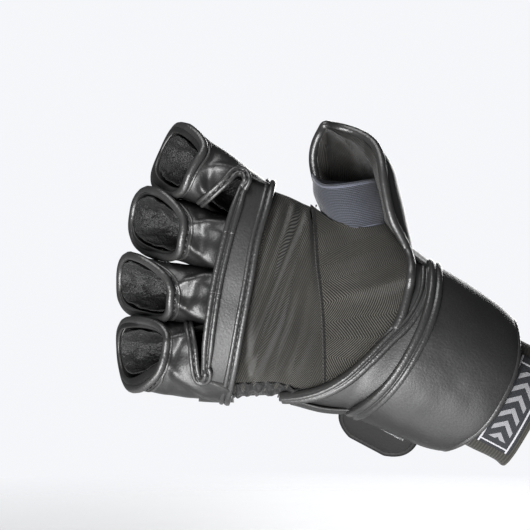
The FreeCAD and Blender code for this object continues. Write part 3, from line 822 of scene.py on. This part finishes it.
w, u = resample(HEEL_EDGE, 130).T
q = palm_q(u, w)
bound_edge(("heel_edge", "heel_edge_stitches"), hand(u, q, -1.6), hand_up(u, q, -1.6),
           two_rolls(6.4, 3.0, 1.1, 0.15, -1.2), 1.35, "hand", "heel_binding")

# gathered cloth on the little finger's side
u, q = grid(np.linspace(-46, -10, 90), np.linspace(0.86, 1.2, 60))
plain = hand(u, q, -3.0)
gather = 1.3 * np.sin(u * 1.15 + 2.2 * noise(plain, 7, 2)) * (0.4 + 0.6 * noise(plain, 5, 9) ** 2)
gusset = hand(u, q, -3.0 + gather + 1.3 * noise(plain, 4.5, 6))
obj = sheet("side_gusset_cloth", gusset, 0.8, HAND.at(-25, 0, 6), RUCHED)
lay(obj, "hand", "side_gusset")


# ---------------------------------------------------------------- back of the hand

KNUCKLE_SEAM, BACK_SEAM, BACK_SEAM_BEND = -38.0, -52.0, 20.0


def back_lift(u, q):
    """Padded panels on the back: a knuckle pad with three grooves, and a hand pad with a V-shaped seam."""
    r = q - 1.0
    edge = smooth_step(r, 0.0, 0.16) * (1 - smooth_step(r, 0.84, 1.0))
    grooves = sum(hill(r - k, 0.018) for k in (0.27, 0.50, 0.73))
    knuckle_pad = panel(u, -17, 20.5) * (4.6 - 1.6 * grooves)
    hand_pad = 3.4 * panel(u, -68, 28.0) * (1 - 0.5 * smooth_step(-u, 80, 96))
    v_seam = 1.3 * hill(u - BACK_SEAM + BACK_SEAM_BEND * np.abs(r - 0.5), 1.6)
    return edge * (knuckle_pad + hand_pad - v_seam - 1.2 * hill(u - KNUCKLE_SEAM, 1.7))


# the pad's outline leaves room for the thumb and for the gathered cloth
u = np.linspace(-104, 3.0, 190)[:, None]
thumb_gap = smooth_step(u, -70, -58) * (1 - smooth_step(u, -15, -8))
gusset_gap = smooth_step(u, -46, -38) * (1 - smooth_step(u, -15, -9))
first, last = 0.93 + 0.2 * gusset_gap, 2.1 - 0.29 * thumb_gap
q = first + (last - first) * np.linspace(0, 1, 230)[None, :]
u = u + 0 * q
side = np.clip(np.where(q < 1.5, 1 - q, q - 2) * 6, -1, 1)
plain = hand(u, q, 0)
lift = 0.4 + back_lift(u, q) + 0.35 * noise(plain, 16, 12) - 1.4 * smooth_step(side, 0, 0.4)
lift = lift + 0.5 * noise(plain, 6, 14) * hill(u - KNUCKLE_SEAM, 6)
# below the strap the back lies close to the wrist
strap_edge = -88.0 + STRAP_SLANT * ((plain - HAND.origin) @ HAND.across)
sunk = 4.5 * (1 - smooth_step(u, strap_edge - 6, strap_edge + 3)) * (q > 1)
back = hand(u, q, lift) - sunk[..., None] * BACKWARD
obj = shell("back_of_hand_pad", back, hand(u, q, -2.0), SKIN)
on(obj, "hand", "back_shell", "knuckle_foam", "hand_foam")

u, q = grid(np.linspace(-100, 2, 60), np.linspace(1.0, 2.0, 80))
back_lining = hand(u, q, -8.5 + 0.6 * noise(hand(u, q, 0), 7, 4))
obj = sheet("back_lining_cloth", back_lining, 0.8, HAND.at(-50, 0, 6), LINING)
lay(obj, "hand", "back_lining")

# a row of stitches on each side of the two seams
q = np.linspace(1.10, 1.90, 120)
for name, station, bend in (("knuckle_seam", KNUCKLE_SEAM, 0.0), ("back_seam", BACK_SEAM, BACK_SEAM_BEND)):
    for off, tag in ((-2.2, "low"), (2.2, "high")):
        u = station - bend * np.abs(q - 1.5) + off
        path = hand(u, q, 0.4 + back_lift(u, q))
        row = stitches(f"{name}_stitches_{tag}", path, hand_up(u, q, 0.4), 0.25, 3.6, 2.5, 0.4)
        on(row, "hand")


# ---------------------------------------------------------------- finger sleeves

# where each sleeve starts and ends, as (angle, s) round from the palm by the little finger's side,
# and how far its two sides stand off at the stations SIDE_AT
PLAIN_BASE = [(0, -1.0), (90, -3), (180, -6), (270, -3), (360, -1.0)]
SLEEVE = {
    "index": {
        "mouth": [(0, 29), (45, 28.5), (70, 31), (90, 35), (110, 40), (135, 45), (180, 48.5),
                  (225, 48.5), (250, 46.5), (270, 42), (290, 36), (315, 30), (360, 29)],
        "radial": (13.4, 15.5, 17.2, 17.0),
        "ulnar": (11.5, 13.2, 16.6, 18.2),
        "base": [(0, 13.0), (45, 17.0), (75, 13.0), (100, 2.0), (150, -5), (220, -6), (270, -9),
                 (296, -9), (312, 8.0), (330, 9.6), (360, 13.0)]},
    "middle": {
        "mouth": [(0, 26), (45, 25.7), (70, 29), (90, 35), (110, 42), (135, 49), (180, 54.5),
                  (225, 54), (250, 51), (270, 46.5), (290, 41), (315, 34), (340, 28), (360, 26)],
        "radial": (12.4, 13.6, 15.0, 15.4),
        "ulnar": (14.4, 15.0, 15.4, 16.0),
        "base": PLAIN_BASE},
    "ring": {
        "mouth": [(0, 26), (45, 26), (70, 28.5), (90, 33), (110, 41), (135, 49), (180, 54),
                  (225, 54), (250, 52), (270, 49), (290, 44), (315, 36), (340, 29), (360, 26)],
        "radial": (14.2, 14.7, 14.4, 14.4),
        "ulnar": (13.8, 14.4, 14.8, 15.6),
        "base": PLAIN_BASE},
    "pinky": {
        "mouth": [(0, 23.5), (20, 26.5), (50, 34), (80, 40), (110, 44), (145, 47), (180, 48.5),
                  (225, 47), (250, 43.5), (270, 37), (300, 27.5), (335, 22.5), (360, 23.5)],
        "radial": (13.6, 14.6, 15.6, 16.2),
        "ulnar": (26.0, 23.0, 20.0, 15.8),
        "base": [(0, 9.8), (18, 8.0), (30, 6.0), (42, -7), (90, -9), (180, -6), (240, -5),
                 (285, 2.0), (310, 11.0), (335, 11.5), (360, 9.8)]},
}
SIDE_AT = (-4.0, 12.0, 34.0, 50.0)
SLEEVE_POWER = 2.35


def sleeve_point(finger, s, a, out=0.0):
    """Point on the sleeve's outside at station s and angle a."""
    radial, ulnar = (through(SIDE_AT, SLEEVE[finger][side], s) for side in ("radial", "ulnar"))
    palm = through([-8, 2, 10, 20, 30, 54], [24.4, 22.8, 18.6, 15.4, 14.4, 14.6], s)
    back = through([-8, 0, 10, 30, 44, 56], [35.0, 34.0, 28.5, 27.0, 26.0, 22.5], s)
    sine, cosine = rounded(a, SLEEVE_POWER)
    z = sine * (np.where(sine > 0, ulnar, radial) + out)
    y = -cosine * (np.where(cosine > 0, palm, back) + out)
    return FINGER[finger].at(s, y, z)


def bore_point(finger, s, a, out=0.0):
    """Point on the sleeve's bore, which is the finger's own section."""
    side = through([-6, 10, 30, 54], [11.5, 10.4, 11.6, 13.4], s)
    palm = through([-6, 10, 30, 54], [17.0, 12.8, 12.2, 12.6], s)
    back = through([-6, 10, 30, 44, 54], [18.0, 14.0, 13.5, 17.0, 20.2], s)
    y = -np.cos(a) * (np.where(np.cos(a) > 0, palm, back) + out)
    return FINGER[finger].at(s, y, np.sin(a) * (side + out))


def section_angles(count):
    """Angles spaced evenly along a sleeve's section."""
    a = np.linspace(0, TAU, 2881)
    run = run_of(np.stack(rounded(a, SLEEVE_POWER), -1) * [15, 20])
    return np.interp(np.arange(count) / count * run[-1], run, a)


AROUND = section_angles(128)


def puff(s, a):
    """Two padding panels on the back of the finger, with a stitched channel between them."""
    dorsal = np.clip(-np.cos(a), 0, 1) ** 0.7
    return dorsal * (1.6 * panel(s, 17, 12) + 1.5 * panel(s, 40, 11) - 1.0)


def drape(s, a, number):
    """Folds that fan from the band over the palm side, and a crease across them."""
    turn = np.mod(a + math.pi, TAU) - math.pi
    spread = 0.20 + 0.040 * np.clip(25 - s, 0, 30)
    folds = hill(turn + spread, 0.17) + hill(turn - spread, 0.17) - 0.6 * hill(turn, 0.2)
    folds = 1.7 * folds * smooth_step(s, 1, 7) * (1 - smooth_step(s, 20, 26))
    crease = 0.8 * hill(s - 20 + 4 * np.sin(a * 2 + number), 2.6)
    return np.clip(np.cos(a), 0, 1) * (folds - crease)


def mouth_rim(outer, bore, along):
    """Rows that turn a sleeve's end over, from its last outer row to its last bore row."""
    for k in np.linspace(0, 1, 8)[1:-1]:
        f = 0.5 - 0.5 * math.cos(math.pi * k)
        swell = math.sin(math.pi * k) * np.clip(np.linalg.norm(outer - bore, axis=-1) * 0.35, 0.6, 3.2)
        yield outer * (1 - f) + bore * f + swell[:, None] * along


def sleeve(finger, number):
    """One finger's padded sleeve with its lining, rolled edge and row of stitches."""
    place, body = FINGER[finger], f"{finger}_finger"
    base = np.interp(AROUND / DEG, *zip(*SLEEVE[finger]["base"]))
    at, ends = zip(*SLEEVE[finger]["mouth"])
    mouth = through(np.array(at) * DEG, ends, AROUND)
    t, a = grid(np.linspace(0, 1, 60), AROUND)
    s = base + (mouth - base) * t
    plain = sleeve_point(finger, s, a)
    centre = place.at(s, 2.0, 0)
    lift = puff(s, a) + drape(s, a, number) + 0.5 * noise(plain, 10, 30 + number)
    lift = lift + 0.22 * noise(plain, 4.5, 40 + number) * hill(s - 12, 14)
    outer = plain + lift[..., None] * unit(plain - centre)
    bore = bore_point(finger, s, a)
    rim = np.array(list(mouth_rim(outer[-1], bore[-1], place.along)))
    inner = bore + 1.2 * unit(plain - centre)
    inner = np.concatenate([inner, np.repeat(inner[-1:], len(rim), 0)])
    obj = shell(f"{finger}_padded_sleeve", np.concatenate([outer, rim]), inner, SOFT, wrap=True)
    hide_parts(f"{finger}_sleeve", f"{finger}_foam")
    bends_with(obj, place, KNUCKLE_BEND)

    start = np.maximum(base, 0.5)
    t, a = grid(np.linspace(0, 1, 50), AROUND)
    s = start + (mouth - 0.3 - start) * t
    wall, core = bore_point(finger, s, a, -0.2), place.at(s, 0, 0)
    wall = wall + (1.1 * noise(wall * [1, 1.4, 1], 5, 50 + number) - 1.0)[..., None] * unit(wall - core)
    obj = sheet(f"{finger}_inner_lining", wall, 0.6, core, LINING, wrap=True)
    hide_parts(f"{finger}_lining")
    bends_with(obj, place, KNUCKLE_BEND)

    up = unit(outer[-1] - place.at(mouth, 2.0, 0))
    path = outer[-1] + up * 0.2 + place.along * 0.6
    on(sweep(f"{finger}_mouth_roll", path, up, circle(2.1, 12), ring=True), body, f"{finger}_piping")
    band_row, stitch_row = 51, 55
    path, up = outer[band_row], unit(outer[band_row] - centre[band_row])
    on(sweep(f"{finger}_mouth_band", path, up, circle(0.8, 8, 0.5), ring=True), body)
    on(stitches(f"{finger}_mouth_stitches", outer[stitch_row], up, 0.35, 3.2, 2.1, 0.35, True), body)


for number, finger in enumerate(FINGER):
    sleeve(finger, number)

# the binding runs on round the openings at the band's two ends, and back over the sleeves:
# points w across the band, then (s, z) on the sleeve
OPENINGS = {
    "index": (np.linspace(-20, -42.5, 14),
              [(3.6, -8.8), (7.0, -10.8), (10.4, -9.2), (11.8, -4.0), (14.2, 3.0), (16.6, 9.0),
               (18.2, 12.6)]),
    "pinky": (np.linspace(10, 47, 18),
              [(3.0, 10.0), (4.4, 13.4), (7.2, 13.8), (9.0, 10.8), (9.6, 6.5), (10.4, -3.0), (12.0, -11.0),
               (12.6, -13.6)])}
for finger, (w, edge) in OPENINGS.items():
    place = FINGER[finger]
    s, z = resample(edge, 24).T
    ulnar, radial = (through(SIDE_AT, SLEEVE[finger][side], s) for side in ("ulnar", "radial"))
    part = np.clip(np.abs(z) / np.where(z > 0, ulnar, radial), 0, 0.999)
    over = sleeve_point(finger, s, np.arcsin(part ** (SLEEVE_POWER / 2)) * np.sign(z), 0.6)
    band_path, band_up = front_binding(w)
    up = np.concatenate([band_up, unit(over - place.at(s, 2.0, 0))])
    path, up, run = even_path(np.concatenate([band_path, over]), up, 170, 14)
    leaves_band = run_of(band_path)[-1]
    narrow = 1 - 0.22 * smooth_step(run, leaves_band - 12, leaves_band)
    binding = sweep(f"{finger}_opening_edge", path, up, FRONT_ROLLS, open_start=True, grow=narrow)
    for piece in (binding, stitches(f"{finger}_opening_stitches", path, up, 1.0)):
        bends_with(piece, place, KNUCKLE_BEND)


# ---------------------------------------------------------------- thumb

def thumb_point(s, b, radius_z, radius_y):
    """Round the thumb: b is 0 towards the wrist, 90 at the back, 180 by the fingers, -90 at the palm."""
    b = np.asarray(b, float) * DEG
    return THUMB.at(s, np.sin(b) * radius_y, -np.cos(b) * radius_z)


# the elastic loop
LOOP_AT = [-180, -140, -100, -60, 0, 60, 120, 180]
LOOP_RADIUS, LOOP_WIDE = 16, 24
t, b = grid(np.linspace(0, 1, 34), np.linspace(-180, 180, 145)[:-1])
low = through(LOOP_AT, [21, 12.0, 6.8, 6.0, 6.0, 9, 15, 21], b)
high = through(LOOP_AT, [40, 33.5, 31.2, 30.4, 30, 31, 35, 40], b)
s = low + (high - low) * t
pull = 1 + 0.035 * np.cos((t - 0.5) * TAU)
axis = THUMB.at(s, 0, 0)
loop = thumb_point(s, b, 16.2 * pull, 15.6 * pull)
loop = loop + 0.18 * noise(loop, 6, 17)[..., None] * unit(loop - axis)
t, b = grid(np.linspace(0, 1, 34), np.linspace(-180, 180, 145))
uv = np.stack([b * DEG * LOOP_RADIUS, (t - 0.5) * LOOP_WIDE], -1)
obj = sheet("thumb_elastic", loop, 1.3, axis, ELASTIC, wrap=True, uv=uv)
lay(obj, "thumb", "thumb_loop")

# padded shield over the back of the thumb: stations, half widths, and the angles of its two edges
SHIELD_S = [-30, -8, 8, 20, 32, 40, 47, 53, 57, 60.5, 62.3]
RIGHT_OUT = [20.5, 24.6, 24.4, 24.2, 23.8, 22.4, 19.9, 16.2, 12.4, 7.4, 3.0]
RIGHT_EDGE = [-15, -29, -43, -42, -36, -24, -8, 10, 26, 48, 66]
LEFT_EDGE = [140, 138, 133, 131, 132, 136, 139, 138, 132, 120, 110]
FULL_WIDTH = 24.4


def shield(f, g, out):
    """f runs from the base to the tip, g from the thumb's front edge over the back to its far edge."""
    s = through(np.linspace(0, 1, len(SHIELD_S)), SHIELD_S, f)
    right, left = (through(SHIELD_S, v, s) for v in (RIGHT_EDGE, LEFT_EDGE))
    b = right + (left - right) * g
    full = through(SHIELD_S, RIGHT_OUT, s) / FULL_WIDTH
    wide = np.where(np.abs(b) < 90, FULL_WIDTH, 20.5) * full
    deep = np.where(b > 0, 25.5, 22.0) * full
    shift = 4.5 * (1 - full)
    edge = smooth_step(g, 0.0, 0.10) * (1 - smooth_step(g, 0.9, 1.0))
    bulge = 1.2 * edge * np.sin(np.clip((s + 8) / 66, 0, 1) * math.pi)
    grown = bulge if out else -1.6 - 6.0 * edge * (0.35 + 0.65 * full)
    back, side = np.sin(b * DEG) * (deep + grown), -np.cos(b * DEG) * (wide + grown)
    return THUMB.at(s, back + shift * 0.9, side + shift * 0.7)


f, g = grid(np.linspace(0, 1, 84), np.linspace(0, 1, 70))
outside, inside = shield(f, g, True), shield(f, g, False)
outside = outside + 0.3 * noise(outside, 10, 60)[..., None] * outward(outside, False, THUMB.at(20, 0, 0))
obj = shell("thumb_shield_pad", outside, inside, SKIN)
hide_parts("thumb_shield", "thumb_foam")
bends_with(obj, THUMB, THUMB_BEND)

f, g = grid(np.linspace(0.12, 0.985, 70), np.linspace(0.02, 0.98, 60))
wall = shield(f, g, False)
axis = THUMB.at(np.linspace(-10, 50, 70)[:, None] + 0 * g, 2, 0)
wall = wall + (-0.9 + 0.8 * noise(wall, 5, 61))[..., None] * unit(wall - axis)
obj = sheet("thumb_inner_lining", wall, 0.6, axis, LINING_CLOTH)
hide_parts("thumb_lining")
bends_with(obj, THUMB, THUMB_BEND)

# one bound edge: up the ball of the thumb from under the heel's edge, and round the shield
u, w = resample([(-84.5, 10.5), (-86.4, 4.0), (-87.2, -4.0), (-87.4, -15.0), (-86.8, -21.0)], 60).T
ball_line = HAND.at(u, -thenar_depth(u, w) - 1.9, w)
ball_up = np.tile(unit(np.array([-0.25, -1.0, 0.1])), (len(ball_line), 1))
f = np.concatenate([np.linspace(0.11, 1, 88), np.ones(24), np.linspace(1, 0.14, 78)])
g = np.concatenate([np.zeros(88), np.linspace(0.04, 0.96, 24), np.ones(78)])
rim = shield(f, g, True) * 0.45 + shield(f, g, False) * 0.55
rim = rim[apart(rim)]
up = np.concatenate([ball_up, unit(rim - THUMB.at(20, 6, -2))])
path, up, _ = even_path(np.concatenate([ball_line, rim]), up, 280, 5)
obj = sweep("thumb_shield_edge", path, up, circle(2.3, 14))
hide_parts("thumb_binding")
bends_with(obj, THUMB, THUMB_BEND)

# cloth round the thumb's base, between the elastic and the hand
t, b = grid(np.linspace(0, 1, 44), np.linspace(-215, 35, 100))
top_s = through([-215, -180, -140, -100, -60, 0, 35], [19, 22, 13.0, 7.5, 6.8, 7.0, 8.5], b)
top, foot = thumb_point(top_s, b, 15.2, 14.6), thumb_point(-26, b, 30, 17)
skirt = top * (1 - t[..., None]) + foot * t[..., None]
hollow = np.sin(t * math.pi) * (-2.4 + 0.7 * noise(skirt, 6, 70))
skirt = skirt + hollow[..., None] * unit(skirt - THUMB.at(-8, 0, 0))
obj = sheet("thumb_base_cloth", skirt, 0.8, THUMB.at(0, 0, 0), CLOTH)
bends_with(obj, THUMB, THUMB_CLOTH_BEND)


# ---------------------------------------------------------------- wrist

# half width and depth, each as (stations, values) from the wrist opening towards the hand
STRAP = (([14, 22, 35, 55, 84], [31.0, 35.0, 38.6, 41.2, 42.6]), ([14, 22, 50, 84], [27, 28.5, 32, 34]))
KNIT = (([-2, 30, 84], [29.3, 29.8, 30.6]), ([-2, 30, 84], [22.8, 22.8, 22.6]))
CUFF = (([20, 84], [34.5, 37.0]), ([20, 84], [25.5, 26.6]))
WRIST_POWER = 2.25
STRAP_FOLD = 270.0
TAIL_END = 127.0


def wrist(t, c, lift, layer):
    """Round the wrist: c is 0 at the palm, 90 on the little finger's side, 180 at the back."""
    half, depth = (through(*table, t) for table in layer)
    sine, cosine = rounded(np.asarray(c) * DEG, WRIST_POWER)
    return WRIST.at(t, -cosine * (depth + lift), sine * (half + lift))


def wrist_grid(stations, angles, counts):
    """Stations down and angles across, as a grid."""
    return grid(np.linspace(*stations, counts[0]), np.linspace(*angles, counts[1]))


def strap_edges(c):
    """The strap's rear and front edges bow round the wrist."""
    sine = np.abs(np.sin(np.asarray(c) * DEG))
    return 18.5 + 11.0 * sine**2.6, 71.0 + 9.5 * sine**2.2


def strap_side(prefix, c, body, seed):
    """One half of the strap: its padded body and two bound edges, pressed thin at the fold."""
    rear, front = strap_edges(c)
    t, cc = grid(np.linspace(0, 1, 64), c)
    run = rear + (front - rear) * t
    plump = 1.3 * np.clip(1 - (2 * t - 1) ** 6, 0, 1) ** 0.5 - 0.4
    pressed = hill(np.mod(c, 360) - STRAP_FOLD, 5)
    plain = wrist(run, cc, 0, STRAP)
    lift = plump - 1.9 * pressed + 0.3 * noise(plain, 22, seed) + 0.14 * noise(plain, 7, seed + 1)
    outer, inner = wrist(run, cc, lift, STRAP), wrist(run, cc, -5.5, STRAP)
    obj = shell(f"{prefix}_padded", outer, inner, SKIN)
    on(obj, body, f"{prefix}_cover", f"{prefix}_foam")
    up = unit(plain[-1] - WRIST.at(front, 0, 0))
    path = wrist(front - 2.6, c, 0.1 - 2.4 * pressed, STRAP)
    bound_edge((f"{prefix}_front_edge", f"{prefix}_front_stitches"), path, up,
               two_rolls(7.4, 2.3, 0.9, -0.05), 1.1, body, f"{prefix}_front_binding")
    path = wrist(rear + 0.3, c, -1.2 - 1.2 * pressed, STRAP)
    on(sweep(f"{prefix}_rear_edge", path, up, circle(1.6, 12)), body, f"{prefix}_rear_binding")


strap_side("strap", np.linspace(-89.2, 97, 130), "hand", 80)
strap_side("tail", np.linspace(TAIL_END, 269.0, 110), "strap_tail", 90)

rear, front = strap_edges(TAIL_END)
t = np.linspace(rear + 1.5, front - 1.0, 60)
path = wrist(t, TAIL_END, -2.2, STRAP)
obj = sweep("tail_end_edge", path, unit(path - WRIST.at(t, 0, 0)), circle(3.4, 14))
on(obj, "strap_tail")

# the two tapes of the closure, face to face
t, c = wrist_grid((50, 74), (148, 212), (20, 40))
for name, height, layer, body, node in (("tail_hook_strip", -5.8, STRAP, "strap_tail", "tail_hook_tape"),
                                        ("cuff_loop_strip", 0.0, CUFF, "hand", "loop_tape")):
    strip = wrist(t, c, height, layer)
    obj = sheet(name, strip, 1.0, WRIST.at(60, 0, 0), TAPE)
    lay(obj, body, node)

t, c = wrist_grid((46, 82), (92, 268), (30, 80))
cuff = wrist(t, c, -1.3, CUFF)
on(sheet("cuff_leather", cuff, 1.6, WRIST.at(60, 0, 0), SOFT), "hand", "cuff_back")

t, c = grid(np.linspace(-0.5, 80, 90), np.linspace(0, 360, 145)[:-1])
lift = 0.35 * noise(wrist(t, c, 0, KNIT), 9, 95) + 0.9 * hill(t, 2.2)
knit = wrist(t, c, lift, KNIT)
obj = sheet("wrist_knit", knit, 1.8, WRIST.at(40, 0, 0), WRISTBAND, wrap=True)
lay(obj, "hand", "wrist_band")

t, c = wrist_grid((1.8, 19.8), (-48, 50), (30, 60))
patch = wrist(t, c, 0.9, KNIT)
obj = sheet("wrist_patch", patch, 0.7, WRIST.at(10, 0, 0), PATCH)
lay(obj, "hand", "wrist_label")

# the strap's free end stands off on the little finger's side
along, across = grid(np.linspace(0, 1, 40), np.linspace(-1, 1, 46))
half_run = 19.5 * np.clip(1 - np.clip((along - 0.35) / 0.72, 0, 1) ** 2.6, 0.0, 1) ** 0.5
rise = 3.2 + 9.0 * along + 1.6 * along**2
plain = WRIST.at(63.0 + across * half_run, rise, 34.0 + 18.6 * along)
plump = 1.9 * np.clip(1 - across**4, 0, 1) ** 0.5 * np.clip(1 - along**6, 0, 1) ** 0.5
normal = unit(0.9 * BACKWARD - 0.42 * WRIST.across)
top_side = plain + (1.7 + plump * 0.6)[..., None] * normal
low_side = plain - (1.2 + 0.3 * plump)[..., None] * normal
# the tab's pad takes the darker leather copy, which is painted shade
obj = shell("tab_leather_pad", top_side, low_side, LEATHER_PAINTED_SHADE)
on(obj, "strap_tab", "tab_leather")

hooks = plain[2:18, 6:-6] - 1.9 * normal
obj = sheet("tab_hook_strip", hooks, 0.9, WRIST.at(63, 40, 30), TAPE)
lay(obj, "strap_tab", "tab_hook_tape")

outline = np.concatenate([plain[:, 0], plain[-1, 1:-1], plain[::-1, -1]])
outline = resample(outline[apart(outline)], 120)
up = np.tile(normal, (len(outline), 1))
# the tab's rim also takes the darker leather copy, which is painted shade
on(sweep("tab_edge", outline, up, circle(1.9, 10), LEATHER_PAINTED_SHADE), "strap_tab")


# ---------------------------------------------------------------- floor, light, camera

# a pale floor that fades out between two distances, and casts no shadow itself
FLOOR_Z, FLOOR_RADIUS, FADE = -0.092, 1.6, (0.15, 0.6)
mesh = bpy.data.meshes.new("floor")
bm = bmesh.new()
bmesh.ops.create_circle(bm, cap_ends=True, segments=96, radius=FLOOR_RADIUS)
bm.to_mesh(mesh)
bm.free()
floor = bpy.data.objects.new("floor", mesh)
floor.location = (-0.12, 0.0, FLOOR_Z)
bpy.context.scene.collection.objects.link(floor)
n = Nodes("pale_floor")
where = n.place()
away = n.add("ShaderNodeVectorMath", {"operation": "LENGTH"}, Vector=where).outputs["Value"]
n.put(n.shader.inputs["Alpha"], n.remap(away, *FADE, 1.0, 0.0))
tone = n.mix(n.noise(where, 30.0), [0.84, 0.842, 0.85, 1], [0.88, 0.882, 0.89, 1])
roughness = n.remap(n.noise(where, 400.0), 0.3, 0.7, 0.6, 0.75)
mesh.materials.append(n.finish(tone, roughness, n.bump(n.noise(where, 900.0), 0.0001, 0.2)))
floor.visible_shadow = False

# the background is seen pale and lights the glove only weakly
world = bpy.data.worlds.new("studio")
bpy.context.scene.world = world
world.use_nodes = True
tree = world.node_tree
seen = tree.nodes["Background"]
seen.inputs[0].default_value = (0.915, 0.925, 0.95, 1)
lit = tree.nodes.new("ShaderNodeBackground")
lit.inputs[0].default_value = (0.93, 0.95, 1.0, 1)
lit.inputs[1].default_value = 0.12
both = tree.nodes.new("ShaderNodeMixShader")
ray = tree.nodes.new("ShaderNodeLightPath")
tree.links.new(ray.outputs["Is Camera Ray"], both.inputs[0])
tree.links.new(lit.outputs[0], both.inputs[1])
tree.links.new(seen.outputs[0], both.inputs[2])
tree.links.new(both.outputs[0], tree.nodes["World Output"].inputs[0])


def area(name, at, size, power):
    """Round lamp aimed at the glove, from a place in metres."""
    light = bpy.data.lights.new(name, "AREA")
    light.shape, light.size, light.energy = "DISK", size, power
    obj = bpy.data.objects.new(name, light)
    obj.location = at
    obj.rotation_euler = (Vector(TARGET) - Vector(at)).to_track_quat("-Z", "Y").to_euler()
    bpy.context.scene.collection.objects.link(obj)


TARGET = (-0.12, 0.0, 0.06)
area("key", (-0.52, -0.95, -0.34), 0.7, 37.0)
area("top", (-0.35, -0.3, 0.95), 0.7, 7.5)
area("low_fill", (-0.2, -0.55, -0.8), 0.6, 19.0)
area("back_fill", (0.2, 1.1, 0.2), 0.8, 12.0)

# the picture is this wide, in metres, at the middle of the hand
SENSOR, DISTANCE, PICTURE_WIDTH = 36.0, 1.0, 0.265
camera = bpy.data.cameras.new("camera")
camera.sensor_width = SENSOR
camera.lens = SENSOR * DISTANCE / PICTURE_WIDTH
view = bpy.data.objects.new("camera", camera)
view.location = (-0.1325, -DISTANCE, 0.0735)
view.rotation_euler = (math.pi / 2, 0, 0)
bpy.context.scene.collection.objects.link(view)
bpy.context.scene.camera = view
bpy.context.scene.view_settings.view_transform = "Standard"
